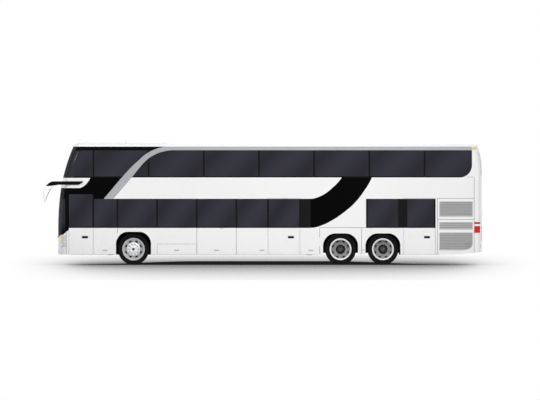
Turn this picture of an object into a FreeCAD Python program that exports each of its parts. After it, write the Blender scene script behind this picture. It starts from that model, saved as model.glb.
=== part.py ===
"""Double-deck three-axle coach, heading towards -X, with its left side at -Y.

Lengths are in millimetres. Stations are distances behind the foremost point of the body.
The origin is on the ground, at the middle of the length over the mirrors.
"""
import FreeCAD, Part
import math
import os

Vec = FreeCAD.Vector

# Body shell
body_length = 13860.0
body_width = 2550.0
body_height = 4000.0
skirt_height = 335.0
wall = 50.0
cantrail_height_below_top = 220.0
cantrail_height = body_height - cantrail_height_below_top
front_split = 343.0
rear_split_to_tail = 260.0
rear_split = body_length - rear_split_to_tail
split_jog_height_below_top = 1670.0
split_jog_height = body_height - split_jog_height_below_top
split_follow = 345.0
overrun = 200.0
mirror_reach = 490.0

# Curves of the ends and of the roof
front_bow = 140.0
front_corner = 200.0
front_rake = 490.0
rake_start = 1150.0
rake_top_below_top = 151.0
rake_top = body_height - rake_top_below_top
rake_square_share = 0.55
rear_bow = 70.0
rear_corner = 100.0
rear_rake = 110.0
rear_rake_start_below_top = 1100.0
rear_rake_start = body_height - rear_rake_start_below_top
rear_rake_top_below_top = 200.0
rear_rake_top = body_height - rear_rake_top_below_top
rear_square_share = 0.55
front_crest = 240.0
rear_crest = 140.0
proud = 1.0
roof_edge = 215.0
roof_crown = 16000.0
tail_rise_station_to_tail = 1047.0
tail_rise_station = body_length - tail_rise_station_to_tail
tail_rise_middle_to_tail = 460.0
tail_rise_middle = body_length - tail_rise_middle_to_tail
tail_rise_height = 95.0
tail_rise_share = 0.33

# Glazing
glass = 8.0
seal_gap = 4.0
frame_margin = 45.0
pane_corner = 60.0
lower_sill = 1210.0
lower_head_below_top = 1845.0
lower_head = body_height - lower_head_below_top
door_glass_head_below_top = 1690.0
door_glass_head = body_height - door_glass_head_below_top
upper_sill_below_top = 1145.0
upper_sill = body_height - upper_sill_below_top
upper_head_below_top = 256.0
upper_head = body_height - upper_head_below_top
quarter_pillar = 1939.0
lower_pane_count = 3
blind_pane_end_to_tail = 5603.0
blind_pane_end = body_length - blind_pane_end_to_tail
rear_pane_start_to_tail = 3795.0
rear_pane_start = body_length - rear_pane_start_to_tail
rear_pane_split_to_tail = 2657.0
rear_pane_split = body_length - rear_pane_split_to_tail
upper_pillar = 1154.0
upper_light_start = 790.0
upper_pane_count = 6
upper_glass_end_to_tail = 329.0
upper_glass_end = body_length - upper_glass_end_to_tail
last_upper_pane = 1553.0
upper_pane_pitch = (upper_glass_end - last_upper_pane - upper_pillar) / upper_pane_count
upper_end_corner = 400.0
screen_sill = 958.0
screen_corner_station = 154.0
screen_corner_sill = 984.0
screen_side_sill = 1140.0
screen_head_below_top = 1489.0
screen_head = body_height - screen_head_below_top
screen_light_head_below_top = 1830.0
screen_light_head = body_height - screen_light_head_below_top
screen_light_sill = 1010.0
screen_light_half_from_side = 145.0
screen_light_half = body_width / 2 - screen_light_half_from_side
top_screen_sill_below_top = 1145.0
top_screen_sill = body_height - top_screen_sill_below_top
top_screen_head_below_top = 135.0
top_screen_head = body_height - top_screen_head_below_top
top_screen_margin = 70.0
top_screen_light_head_below_top = 310.0
top_screen_light_head = body_height - top_screen_light_head_below_top
rear_light_half_from_side = 195.0
rear_light_half = body_width / 2 - rear_light_half_from_side
rear_light_sill_below_top = 1110.0
rear_light_sill = body_height - rear_light_sill_below_top
rear_light_head_below_top = 310.0
rear_light_head = body_height - rear_light_head_below_top

# Doors, flaps and the lid over the engine
leaf_gap = 8.0
front_door_end = 1148.0
front_door_head_below_top = 1670.0
front_door_head = body_height - front_door_head_below_top
mid_door_station_to_tail = 7000.0
mid_door_station = body_length - mid_door_station_to_tail
last_low_pane = 1033.0
lower_pane_pitch = (mid_door_station - last_low_pane - quarter_pillar) / lower_pane_count
mid_door_end_to_tail = 5953.0
mid_door_end = body_length - mid_door_end_to_tail
mid_door_head_below_top = 1822.0
mid_door_head = body_height - mid_door_head_below_top
rear_door_station_to_tail = 2565.0
rear_door_station = body_length - rear_door_station_to_tail
rear_door_end_to_tail = 1519.0
rear_door_end = body_length - rear_door_end_to_tail
rear_door_light_start_to_tail = 2445.0
rear_door_light_start = body_length - rear_door_light_start_to_tail
flap_station = quarter_pillar + lower_pane_pitch
low_flap_head = 684.0
tall_flap_head = 1190.0
lid_half_from_side = 345.0
lid_half = body_width / 2 - lid_half_from_side
lid_bottom = 490.0
lid_head = 1560.0
hinge_depth = 8.0
hinge_eye = 8.0
hinge_back = 18.0
lid_hinge_back = 31.0
hinge_width = 40.0
hinge_clear = 6.0
hinge_pin = 5.0
hinge_pin_end = 12.0
pin_clear = 0.3
hinge_end_share = 0.17
door_hinge_low = 485.0
door_hinge_high = 1070.0
lid_hinge_half = 300.0

# Wheels and arches
wheel_radius = 510.0
front_axle_station = 2463.0
drive_axle_station_to_tail = 4628.0
drive_axle_station = body_length - drive_axle_station_to_tail
tag_axle_station_to_tail = 3241.0
tag_axle_station = body_length - tag_axle_station_to_tail
tyre_width = 295.0
tyre_bead = 372.0
tyre_tread_half = 128.0
tyre_shoulder = 38.0
tyre_bulge_share = 0.55
tyre_face_inset = 25.0
twin_pitch = 325.0
rim_gap = 0.3
rim_wall = 22.0
rim_disc = 24.0
hub_radius = 137.0
hub_reach = 95.0
hub_bore = 45.0
slot_radius = 262.0
slot_half_width = 20.0
slot_half_length = 44.0
slot_count = 8
front_dish = 70.0
rear_dish = 190.0
front_arch_half = 572.0
front_arch_top = 1079.0
front_arch_flat = 229.0
front_arch_spring = 620.0
rear_arch_half = 571.0
rear_arch_top = 1027.0
rear_arch_flat = 180.0
rear_arch_spring = 600.0
arch_diagonal_share = 0.293
liner = 10.0
liner_depth = 615.0
liner_notch_half = 330.0
liner_notch_top = 640.0

# Floors and frame
low_floor = 420.0
high_floor = 1150.0
floor_plate = 30.0
rear_step_to_tail = 5510.0
rear_step = body_length - rear_step_to_tail
well_start_to_tail = 2610.0
well_start = body_length - well_start_to_tail
well_end_to_tail = 1470.0
well_end = body_length - well_end_to_tail
plinth_top = 700.0
plinth_inner_from_side = 775.0
plinth_inner = body_width / 2 - plinth_inner_from_side
plinth_start = 3150.0
plinth_end_to_tail = 7160.0
plinth_end = body_length - plinth_end_to_tail
upper_floor_below_top = 1770.0
upper_floor = body_height - upper_floor_below_top
upper_floor_plate = 50.0
rail_inner = 390.0
rail_width = 80.0
rail_depth = 60.0
high_rail_bottom = 800.0
high_rail_depth = 100.0
cross_width = 70.0
frame_start = 420.0
frame_end_to_tail = 300.0
frame_end = body_length - frame_end_to_tail
plate_gap = 0.3
front_jack_station = 1700.0
rear_jack_station_to_tail = 5660.0
rear_jack_station = body_length - rear_jack_station_to_tail
jack_length = 160.0
jack_depth = 12.0

# Axles and steering
kingpin_offset = 95.0
kingpin_radius = 21.0
kingpin_boss = 45.0
boss_half = 60.0
fork_gap = 2.0
fork_clear = 12.0
fork_height = 36.0
knuckle_web = 26.0
beam_width = 110.0
beam_bottom = 225.0
beam_depth = 85.0
beam_flat_half = 470.0
spindle_radius = 44.5
spindle_clear = 0.5
steer_arm = 170.0
steer_arm_width = 44.0
steer_arm_height = 18.0
steer_arm_level = 330.0
track_rod_radius = 15.0
track_rod_level = 304.0
ball_pin = 11.0
ball_clear = 0.5
axle_tube = 75.0
diff_radius = 215.0
diff_half = 170.0
spring_radius = 105.0
spring_seat_height = 50.0
spring_centre = 430.0

# Engine
engine_start_to_tail = 1390.0
engine_start = body_length - engine_start_to_tail
engine_length = 1010.0
engine_bottom = 450.0
engine_height = 800.0

# Cooling and engine grilles in both side walls
grille_start_to_tail = 1398.0
grille_start = body_length - grille_start_to_tail
grille_end_to_tail = 303.0
grille_end = body_length - grille_end_to_tail
grille_bottom = 474.0
grille_low_head = 1056.0
grille_mid_sill = 1151.0
grille_mid_head = 1396.0
grille_top_sill = 1573.0
grille_top_head = 2073.0
grille_frame = 30.0
grille_depth = 40.0
grille_corner = 230.0
slat_pitch = 48.0
slat_height = 20.0
grille_gap = 0.3

# Lamps
lamp_depth = 26.0
head_lamp_sill = 582.0
head_lamp_head = 736.0
head_lamp_inner_from_side = 515.0
head_lamp_inner = body_width / 2 - head_lamp_inner_from_side
head_lamp_station = 140.0
turn_lamp_sill = 768.0
turn_lamp_head = 942.0
turn_lamp_inner_from_side = 255.0
turn_lamp_inner = body_width / 2 - turn_lamp_inner_from_side
turn_lamp_station = 127.0
tail_lamp_inner_from_side = 185.0
tail_lamp_inner = body_width / 2 - tail_lamp_inner_from_side
tail_lamp_sill = 1043.0
tail_lamp_head = 1396.0

# Mirrors
mirror_arm_rear = 824.0
mirror_arm_low_rear = 680.0
mirror_arm_top_below_top = 1270.0
mirror_arm_top = body_height - mirror_arm_top_below_top
mirror_arm_bottom_below_top = 1384.0
mirror_arm_bottom = body_height - mirror_arm_bottom_below_top
mirror_arm_tip = 389.0
mirror_arm_tip_height_below_top = 1400.0
mirror_arm_tip_height = body_height - mirror_arm_tip_height_below_top
mirror_arm_bend = 183.0
mirror_arm_thick = 64.0
mirror_arm_curve_share = 0.7
mirror_arm_step = 33.0
mirror_arm_low_tip_below_top = 1425.0
mirror_arm_low_tip = body_height - mirror_arm_low_tip_below_top
mirror_head_top_below_top = 1440.0
mirror_head_top = body_height - mirror_head_top_below_top
mirror_head_back = 183.0
mirror_head_front = 470.0
mirror_head_foot_below_top = 1970.0
mirror_head_foot = body_height - mirror_head_foot_below_top
mirror_head_foot_reach = 431.0
mirror_head_belly_below_top = 1717.0
mirror_head_belly = body_height - mirror_head_belly_below_top
mirror_head_belly_back = 315.0
mirror_head_half = 125.0
mirror_head_edge = 35.0

# Wipers
wiper_reach = 880.0
wiper_height = 1075.0
wiper_bar = 28.0
wiper_thick = 18.0
wiper_pivot_half = 60.0
wiper_hub = 45.0
wiper_rise = 120.0
wiper_pivot_drop = 60.0

# Seats, stairs and driver's place
seat_width = 900.0
seat_depth = 480.0
seat_height = 440.0
seat_cushion = 130.0
seat_back = 1080.0
seat_back_thick = 110.0
seat_lean = 160.0
seat_leg_half = 140.0
seat_leg_depth = 300.0
seat_wall_gap = 15.0
seat_pitch = 800.0
lower_seat_start = 3300.0
lower_left_rows = 4
lower_right_rows = 3
upper_seat_start = 1700.0
last_row_to_tail = 900.0
upper_rows = int((body_length - upper_seat_start - last_row_to_tail) // seat_pitch)
stair_start_to_tail = 7910.0
stair_start = body_length - stair_start_to_tail
stair_end_to_tail = 6110.0
stair_end = body_length - stair_end_to_tail
stair_inner_from_side = 715.0
stair_inner = body_width / 2 - stair_inner_from_side
stair_count = 8
stair_tread = 30.0
stair_string = 40.0
driver_seat_station = 1350.0
driver_seat_width = 520.0
driver_place = 640.0
dash_station = 420.0
dash_depth = 420.0
dash_height = 1010.0
dash_drop = 330.0
dash_end_gap = 15.0
column_radius = 28.0
column_lean = 330.0
column_length = 420.0
steering_wheel_radius = 235.0
steering_rim = 16.0
steering_hub = 60.0
spoke_half = 14.0

LEFT = -1.0
RIGHT = 1.0
x_nose = (mirror_reach - body_length) / 2
half_width = body_width / 2
inner_half = half_width - wall


SEAM_STEPS = 6
FRONT = {"rake": front_rake, "start": rake_start, "top": rake_top, "square": rake_square_share,
         "crest": front_crest, "bow": front_bow, "corner": front_corner}
REAR = {"rake": rear_rake, "start": rear_rake_start, "top": rear_rake_top,
        "square": rear_square_share, "crest": rear_crest, "bow": rear_bow, "corner": rear_corner}


def at(station):
    """Give the x of a station."""
    return x_nose + station


def box(x0, x1, y0, y1, z0, z1):
    """Make a block between two corners given in any order."""
    low = Vec(min(x0, x1), min(y0, y1), min(z0, z1))
    return Part.makeBox(abs(x1 - x0), abs(y1 - y0), abs(z1 - z0), low)


def side_prism(points, y0, y1):
    """Extrude an outline of (x, z) points across the body."""
    corners = [Vec(x, min(y0, y1), z) for x, z in points]
    face = Part.Face(Part.makePolygon(corners + corners[:1]))
    return face.extrude(Vec(0, abs(y1 - y0), 0))


def end_prism(points, x0, x1):
    """Extrude an outline of (y, z) points along the body."""
    corners = [Vec(min(x0, x1), y, z) for y, z in points]
    face = Part.Face(Part.makePolygon(corners + corners[:1]))
    return face.extrude(Vec(abs(x1 - x0), 0, 0))


def round_along(solid, axis, radius):
    """Round the edges of a block that run along one axis, 0 for X, 1 for Y and 2 for Z."""
    edges = []
    for edge in solid.Edges:
        run = edge.lastVertex().Point.sub(edge.firstVertex().Point)
        if abs(tuple(run)[axis]) > 0.9 * edge.Length:
            edges.append(edge)
    return solid.makeFillet(radius, edges)


def fuse_all(shapes):
    """Join shapes into one solid."""
    joined = shapes[0].multiFuse(shapes[1:]) if len(shapes) > 1 else shapes[0]
    return joined.removeSplitter()


def section(inset, bottom):
    """Draw the cross-section: upright sides, round roof edges and a crowned roof."""
    half = half_width - inset
    edge = roof_edge - inset
    crown = roof_crown - inset
    top = body_height - inset
    lean = math.asin((half - edge) / (crown - edge))
    centre_z = top - crown + (crown - edge) * math.cos(lean)
    centre_y = half - edge

    def on_edge(side, angle):
        y = side * (centre_y + edge * math.sin(angle))
        return Vec(0, y, centre_z + edge * math.cos(angle))

    middle = (lean + math.pi / 2) / 2
    left = [on_edge(LEFT, math.pi / 2), on_edge(LEFT, middle), on_edge(LEFT, lean)]
    right = [on_edge(RIGHT, lean), on_edge(RIGHT, middle), on_edge(RIGHT, math.pi / 2)]
    edges = [
        Part.LineSegment(Vec(0, -half, bottom), left[0]).toShape(),
        Part.Arc(*left).toShape(),
        Part.Arc(left[2], Vec(0, 0, top), right[0]).toShape(),
        Part.Arc(*right).toShape(),
        Part.LineSegment(right[2], Vec(0, half, bottom)).toShape(),
        Part.LineSegment(Vec(0, half, bottom), Vec(0, -half, bottom)).toShape(),
    ]
    return Part.Face(Part.Wire(edges))


def end_slope(shape, z):
    """Give how far an end face lies behind its foremost point at a height, and its slope."""
    rise = shape["top"] - shape["start"]
    share = max(0.0, (z - shape["start"]) / rise)
    square = shape["square"]
    behind = shape["rake"] * (square * share ** 2 + (1 - square) * share ** 3)
    slope = shape["rake"] / rise * (2 * square * share + 3 * (1 - square) * share ** 2)
    return behind, slope


def crest_seam(shape):
    """Find the height at which the leaning face turns into the round crest below the roof."""
    seam = body_height - shape["crest"]
    for i in range(SEAM_STEPS):
        slope = end_slope(shape, seam)[1]
        seam = body_height + proud - shape["crest"] * (1 - slope / math.hypot(1, slope))
    return seam


def arc_poles(centre, radius, first, last, place_at):
    """Give the three poles and weights of an arc as a rational curve of degree two."""
    half_turn = (last - first) / 2
    reach = radius / math.cos(half_turn)
    poles = [
        centre + place_at(radius, first),
        centre + place_at(reach, first + half_turn),
        centre + place_at(radius, last)]
    return poles, [1, math.cos(half_turn), 1]


def in_profile(radius, angle):
    """Give a point forward and up of a centre, its angle taken from straight ahead."""
    return Vec(-radius * math.cos(angle), 0, radius * math.sin(angle))


def in_plan(radius, angle):
    """Give a point forward and right of a centre, its angle taken from straight ahead."""
    return Vec(-radius * math.cos(angle), radius * math.sin(angle), 0)


def rise_curves(shape, inset):
    """Give the leaning and the crest curve of an end, and the heights where they start and meet.

    Both are poles and weights, with x the distance behind the foremost point and z the height,
    and are moved inwards by inset.
    The leaning curve is the cubic with the square and cube terms of end_slope.
    """
    seam = crest_seam(shape)
    start = shape["start"]
    share = (seam - start) / (shape["top"] - start)
    square = shape["rake"] * shape["square"] * share ** 2
    behind, slope = end_slope(shape, seam)
    length = math.hypot(1, slope)
    step = (seam - start) / 3
    low = Vec(inset, 0, 0)
    high = Vec(inset / length, 0, -inset * slope / length)
    lean = [
        Vec(0, 0, start) + low, Vec(0, 0, start + step) + low,
        Vec(square / 3, 0, start + 2 * step) + high, Vec(behind, 0, seam) + high]
    first = math.atan2(slope, 1)
    centre = Vec(behind + shape["crest"] * math.cos(first), 0, seam - shape["crest"] * math.sin(first))
    crest = arc_poles(centre, shape["crest"] - inset, first, math.pi / 2, in_profile)
    return (lean, [1, 1, 1, 1]), crest, start, seam + high.z


def plan_arcs(shape, inset):
    """Give the poles of the bow and right corner arcs of an end in plan, and where they meet.

    Both start from the foremost point, and are moved inwards by inset.
    """
    radius = half_width ** 2 / (2 * shape["bow"]) + shape["bow"] / 2
    corner = shape["corner"]
    centre = Vec(0, half_width - corner + proud, 0)
    centre.x = radius - math.sqrt((radius - corner) ** 2 - centre.y ** 2)
    tilt = math.atan2(centre.y, radius - centre.x)
    back = Vec(-inset, 0, 0)
    bow = arc_poles(Vec(radius, 0, 0) + back, radius - inset, -tilt, tilt, in_plan)
    side = arc_poles(centre + back, corner - inset, tilt, math.pi / 2, in_plan)
    return bow, side, (radius - inset) * math.sin(tilt)


def end_patch(rise, plan):
    """Carry a plan arc along a height curve."""
    rise_poles, rise_weights = rise
    plan_poles, plan_weights = plan
    rise_order = len(rise_poles)
    plan_order = len(plan_poles)
    face = Part.BSplineSurface()
    face.buildFromPolesMultsKnots(
        [[r + p for p in plan_poles] for r in rise_poles],
        [rise_order, rise_order], [plan_order, plan_order], [0, 1], [0, 1],
        False, False, rise_order - 1, plan_order - 1,
        [[r * p for p in plan_weights] for r in rise_weights])
    return face.toShape()


def upright_patch(plan, inset, bottom, top):
    """Carry a plan arc straight up."""
    poles, weights = plan
    middle = (poles[0] + poles[1] * (2 * weights[1]) + poles[2]) * (1 / (2 + 2 * weights[1]))
    edge = Part.Arc(poles[0], middle, poles[2]).toShape()
    edge.translate(Vec(inset, 0, bottom))
    return edge.extrude(Vec(0, 0, top - bottom))


def end_half(shape, inset, bottom):
    """Make the half of the body behind an end whose foremost point is at x = 0, towards +X."""
    half = section(inset, bottom).extrude(Vec(body_length / 2 + overrun, 0, 0))
    half.translate(Vec(-overrun, 0, 0))
    lean, crest, start, seam = rise_curves(shape, inset)
    bow, side, meet = plan_arcs(shape, inset)
    cells = []
    for plan, y0, y1 in ((bow, -meet, meet), (side, meet, body_width)):
        bands = (
            (upright_patch(plan, inset, bottom, start), bottom, start),
            (end_patch(lean, plan), start, seam),
            (end_patch(crest, plan), seam, body_height + overrun))
        for patch, z0, z1 in bands:
            cell = half.common(box(-overrun, body_length / 2, y0, y1, z0, z1))
            cell = cell.common(patch.extrude(Vec(body_length, 0, 0)))
            cells += cell.Solids
            if plan is side:
                cells += mirrored(cell).Solids
    return fuse_all(cells)


def body_form(inset, bottom):
    """Make the whole body as a solid that lies inset within the outer skin."""
    front = end_half(FRONT, inset, bottom)
    front.translate(Vec(x_nose, 0, 0))
    rear = end_half(REAR, inset, bottom)
    rear = rear.mirror(Vec(0, 0, 0), Vec(1, 0, 0))
    rear.translate(Vec(at(body_length), 0, 0))
    return front.fuse(rear).removeSplitter().Solids[0]


def front_block():
    """Make the space in front of the seam between the front panel and the rest of the body."""
    reach = body_height + overrun
    seam = []
    for i in range(SEAM_STEPS + 1):
        z = split_jog_height + (reach - split_jog_height) * i / SEAM_STEPS
        seam.append(Vec(at(split_follow + end_slope(FRONT, z)[0]), 0, z))
    curve = Part.BSplineCurve()
    curve.interpolate(seam)
    ahead = x_nose - mirror_reach
    corners = [
        Vec(ahead, 0, reach), Vec(ahead, 0, -overrun), Vec(at(front_split), 0, -overrun),
        Vec(at(front_split), 0, split_jog_height), seam[0]]
    edges = [Part.LineSegment(a, b).toShape() for a, b in zip(corners, corners[1:])]
    edges += [curve.toShape(), Part.LineSegment(seam[-1], corners[0]).toShape()]
    face = Part.Face(Part.Wire(Part.__sortEdges__(edges)))
    face.translate(Vec(0, -body_width, 0))
    return face.extrude(Vec(0, 2 * body_width, 0))


def tail_cut():
    """Make the space below the skirt where it rises to the tail."""
    start = Vec(at(tail_rise_station), 0, skirt_height)
    middle = Vec(at(tail_rise_middle), 0, skirt_height + tail_rise_height * tail_rise_share)
    end = Vec(at(body_length + wall), 0, skirt_height + tail_rise_height)
    low = Vec(0, 0, -overrun)
    edges = [
        Part.Arc(start, middle, end).toShape(),
        Part.LineSegment(end, end + low * 2).toShape(),
        Part.LineSegment(end + low * 2, Vec(start.x, 0, end.z) + low * 2).toShape(),
        Part.LineSegment(Vec(start.x, 0, end.z) + low * 2, start).toShape(),
    ]
    face = Part.Face(Part.Wire(edges))
    face.translate(Vec(0, -body_width, 0))
    return face.extrude(Vec(0, 2 * body_width, 0))


AXLES = (
    (front_axle_station, front_arch_half, front_arch_top, front_arch_flat, front_arch_spring),
    (drive_axle_station, rear_arch_half, rear_arch_top, rear_arch_flat, rear_arch_spring),
    (tag_axle_station, rear_arch_half, rear_arch_top, rear_arch_flat, rear_arch_spring),
)


def arch_prism(axle, grow, y0, y1):
    """Make the space of a wheel arch, with rounded shoulders, between two planes."""
    station, half, top, flat, spring = axle
    x = at(station)
    half += grow
    top += grow
    low = skirt_height - overrun
    lean = (half - flat) * arch_diagonal_share
    rise = (top - spring) * arch_diagonal_share
    path = [
        Part.LineSegment(Vec(x - half, 0, low), Vec(x - half, 0, spring)),
        Part.Arc(Vec(x - half, 0, spring), Vec(x - half + lean, 0, top - rise),
                 Vec(x - flat, 0, top)),
        Part.LineSegment(Vec(x - flat, 0, top), Vec(x + flat, 0, top)),
        Part.Arc(Vec(x + flat, 0, top), Vec(x + half - lean, 0, top - rise),
                 Vec(x + half, 0, spring)),
        Part.LineSegment(Vec(x + half, 0, spring), Vec(x + half, 0, low)),
        Part.LineSegment(Vec(x + half, 0, low), Vec(x - half, 0, low)),
    ]
    face = Part.Face(Part.Wire([edge.toShape() for edge in path]))
    face.translate(Vec(0, min(y0, y1), 0))
    return face.extrude(Vec(0, abs(y1 - y0), 0))


def skin_box(side, x0, x1, z0, z1, depth):
    """Make a block that reaches from outside a side wall to a depth within it."""
    return box(x0, x1, side * (half_width + overrun), side * (half_width - depth), z0, z1)


def light(side, x0, x1, z0, z1, corner):
    """Make the rounded space of one window opening through a side wall."""
    cut = box(x0, x1, side * (half_width + overrun), side * (inner_half - overrun), z0, z1)
    return round_along(cut, 1, corner)


def lower_bands(side):
    """List the lower glazed bands of a side: start, end, head, pane ends and blind last pane."""
    pillars = [quarter_pillar + lower_pane_pitch * i for i in range(lower_pane_count + 1)]
    main = [front_door_end] + pillars + [mid_door_station]
    if side == LEFT:
        return [
            (main, lower_head, False), ([mid_door_end, blind_pane_end], lower_head, True),
            ([rear_pane_start, rear_door_station], lower_head, False)]
    return [
        ([front_split, front_door_end], door_glass_head, False),
        (main + [mid_door_end], lower_head, False),
        ([mid_door_end, blind_pane_end], lower_head, True),
        ([rear_pane_start, rear_pane_split, rear_door_end], lower_head, False)]


def upper_stations():
    """List the pane ends of the upper band."""
    return [upper_pillar + upper_pane_pitch * i for i in range(upper_pane_count + 1)]


def pane(side, x0, x1, z0, z1):
    """Make one flat bonded pane, flush with the skin."""
    gap = seal_gap / 2
    return skin_box(side, x0 + gap, x1 - gap, z0 + gap, z1 - gap, glass).common(
        box(x0, x1, side * half_width, 0, z0, z1))


def upper_end_space(side, x0, x1, z0, z1, corner, depth):
    """Make the space of the last upper pane, with a large round at its lower rear corner."""
    block = skin_box(side, x0, x1, z0, z1, depth)
    edges = [edge for edge in block.Edges
             if edge.BoundBox.XLength + edge.BoundBox.ZLength < seal_gap
             and edge.CenterOfMass.x > (x0 + x1) / 2 and edge.CenterOfMass.z < (z0 + z1) / 2]
    return block.makeFillet(corner, edges)


GRILLES = (
    (grille_bottom, grille_low_head), (grille_mid_sill, grille_mid_head),
    (grille_top_sill, grille_top_head))


def grille_space(side, sill, head, gap, depth):
    """Make the space of one grille, the lowest with a large round at its rear foot."""
    x0 = at(grille_start) + gap
    x1 = at(grille_end) - gap
    block = box(x0, x1, side * (half_width + overrun * (depth < 0)),
                side * (half_width - abs(depth)), sill + gap, head - gap)
    if sill > grille_bottom:
        return block
    edges = [edge for edge in block.Edges
             if edge.BoundBox.XLength + edge.BoundBox.ZLength < seal_gap
             and edge.CenterOfMass.x > (x0 + x1) / 2 and edge.CenterOfMass.z < (sill + head) / 2]
    return block.makeFillet(grille_corner - gap, edges)


def flap_spans():
    """List the flaps of one side: start, end and head."""
    middle = flap_station + lower_pane_pitch
    return (
        ("front", flap_station, middle, low_flap_head),
        ("rear", middle, middle + lower_pane_pitch, tall_flap_head))


DOORS = (
    ("front_door", front_split, front_door_end, front_door_head, door_glass_head, front_split),
    ("mid_door", mid_door_station, mid_door_end, mid_door_head, lower_head, mid_door_station),
    ("rear_door", rear_door_station, rear_door_end, mid_door_head, lower_head,
     rear_door_light_start - frame_margin))


def side_wall(side, ahead, tail):
    """Make one side wall with its arches, doorways, window openings and grille openings."""
    solid = box(at(front_split), at(rear_split), side * half_width, side * inner_half,
                skirt_height, cantrail_height)
    cuts = [ahead, tail]
    y0 = side * (half_width + overrun)
    y1 = side * (inner_half - overrun)
    cuts += [arch_prism(axle, 0, y0, y1) for axle in AXLES]
    if side == LEFT:
        for name, start, end, head, glass_head, light_start in DOORS:
            cuts.append(box(at(start) - (overrun if start == front_split else 0), at(end),
                            y0, y1, skirt_height - overrun, head))
    for name, start, end, head in flap_spans():
        cuts.append(box(at(start), at(end), y0, y1, skirt_height - overrun, head))
    for sill, head in GRILLES:
        cuts.append(grille_space(side, sill, head, 0, -wall - overrun))
    for stations, head, blind in lower_bands(side):
        cuts.append(skin_box(side, at(stations[0]), at(stations[-1]), lower_sill, head, glass))
        for start, end in zip(stations, stations[1:]):
            if not blind:
                cuts.append(light(side, at(start) + frame_margin, at(end) - frame_margin,
                                  lower_sill + frame_margin, head - frame_margin, pane_corner))
    ends = upper_stations()
    cuts.append(skin_box(side, at(front_split), at(ends[-1]), upper_sill, upper_head, glass))
    cuts.append(upper_end_space(side, at(ends[-1]) - overrun, at(upper_glass_end), upper_sill,
                                upper_head, upper_end_corner, glass))
    starts = [upper_light_start] + ends[:-1]
    for start, end in zip(starts, ends):
        cuts.append(light(side, at(start) + frame_margin, at(end) - frame_margin,
                          upper_sill + frame_margin, upper_head - frame_margin, pane_corner))
    cuts.append(upper_end_space(
        side, at(ends[-1]) + frame_margin, at(upper_glass_end) - frame_margin,
        upper_sill + frame_margin, upper_head - frame_margin, upper_end_corner - frame_margin,
        wall + overrun))
    return solid.cut(cuts)


def side_glass(side, ahead):
    """Make the fixed panes of one side."""
    panes = []
    for stations, head, blind in lower_bands(side):
        for start, end in zip(stations, stations[1:]):
            panes.append(pane(side, at(start), at(end), lower_sill, head))
    ends = upper_stations()
    first = pane(side, at(front_split) - overrun, at(ends[0]), upper_sill, upper_head)
    panes.append(first.cut(ahead).Solids[0])
    for start, end in zip(ends, ends[1:]):
        panes.append(pane(side, at(start), at(end), upper_sill, upper_head))
    gap = seal_gap / 2
    last = upper_end_space(side, at(ends[-1]) + gap, at(upper_glass_end) - gap, upper_sill + gap,
                           upper_head - gap, upper_end_corner - gap, glass)
    inside = box(at(0), at(body_length), side * half_width, 0, 0, body_height)
    panes.append(last.common(inside).Solids[0])
    return panes


def place(shape, origin, x_dir, y_dir, z_dir):
    """Put a shape built at the origin into a place given by its three directions."""
    copy = shape.copy()
    copy.Placement = FreeCAD.Placement(origin, FreeCAD.Rotation(x_dir, y_dir, z_dir, "XZY"))
    return copy


def hinge_arm(back):
    """Make a leaf's hinge arm and pin: pin along Z, leaf towards +X, outside towards -Y."""
    arm = box(0, back + hinge_depth, -hinge_eye, hinge_eye, -hinge_width / 2, hinge_width / 2)
    eye = Part.makeCylinder(hinge_eye, hinge_width, Vec(0, 0, -hinge_width / 2))
    reach = hinge_width / 2 + hinge_clear + hinge_pin_end
    pin = Part.makeCylinder(hinge_pin, 2 * reach, Vec(0, 0, -reach))
    return fuse_all([arm, eye, pin])


def hinge_pocket(back):
    """Make the pocket and bores that a hinge arm needs in the piece that carries it."""
    half = hinge_width / 2 + hinge_clear
    room = hinge_eye + hinge_clear
    pocket = box(-room, back + overrun, -hinge_depth - overrun, room, -half, half)
    reach = half + hinge_pin_end + pin_clear
    bore = Part.makeCylinder(hinge_pin + pin_clear, 2 * reach, Vec(0, 0, -reach))
    return pocket.fuse(bore)


def door_hinges(start):
    """Give the places of a door's two hinges, on the upright axis inside its front jamb."""
    x = at(start) + leaf_gap - hinge_back
    return [(Vec(x, hinge_depth - half_width, z), Vec(1, 0, 0), Vec(0, 1, 0), Vec(0, 0, 1))
            for z in (door_hinge_low, door_hinge_high)]


def flap_hinges(start, end, head):
    """Give the places of a left flap's two hinges, on the level axis above its top edge."""
    z = head - leaf_gap + hinge_back
    width = end - start
    stations = (start + width * hinge_end_share, end - width * hinge_end_share)
    return [(Vec(at(s), hinge_depth - half_width, z), Vec(0, 0, -1), Vec(0, 1, 0), Vec(1, 0, 0))
            for s in stations]


def lid_hinges():
    """Give the places of the engine lid's two hinges."""
    sag = rear_bow * (lid_hinge_half / half_width) ** 2
    x = at(body_length) - sag - hinge_depth
    z = lid_head - leaf_gap + lid_hinge_back
    return [(Vec(x, y, z), Vec(0, 0, -1), Vec(-1, 0, 0), Vec(0, 1, 0))
            for y in (-lid_hinge_half, lid_hinge_half)]


def with_arms(leaf, hinges, back):
    """Add the hinge arms to a leaf."""
    return fuse_all([leaf] + [place(hinge_arm(back), *hinge) for hinge in hinges])


def pockets(hinges, back):
    """Make the hinge pockets at a list of places."""
    return [place(hinge_pocket(back), *hinge) for hinge in hinges]


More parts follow.
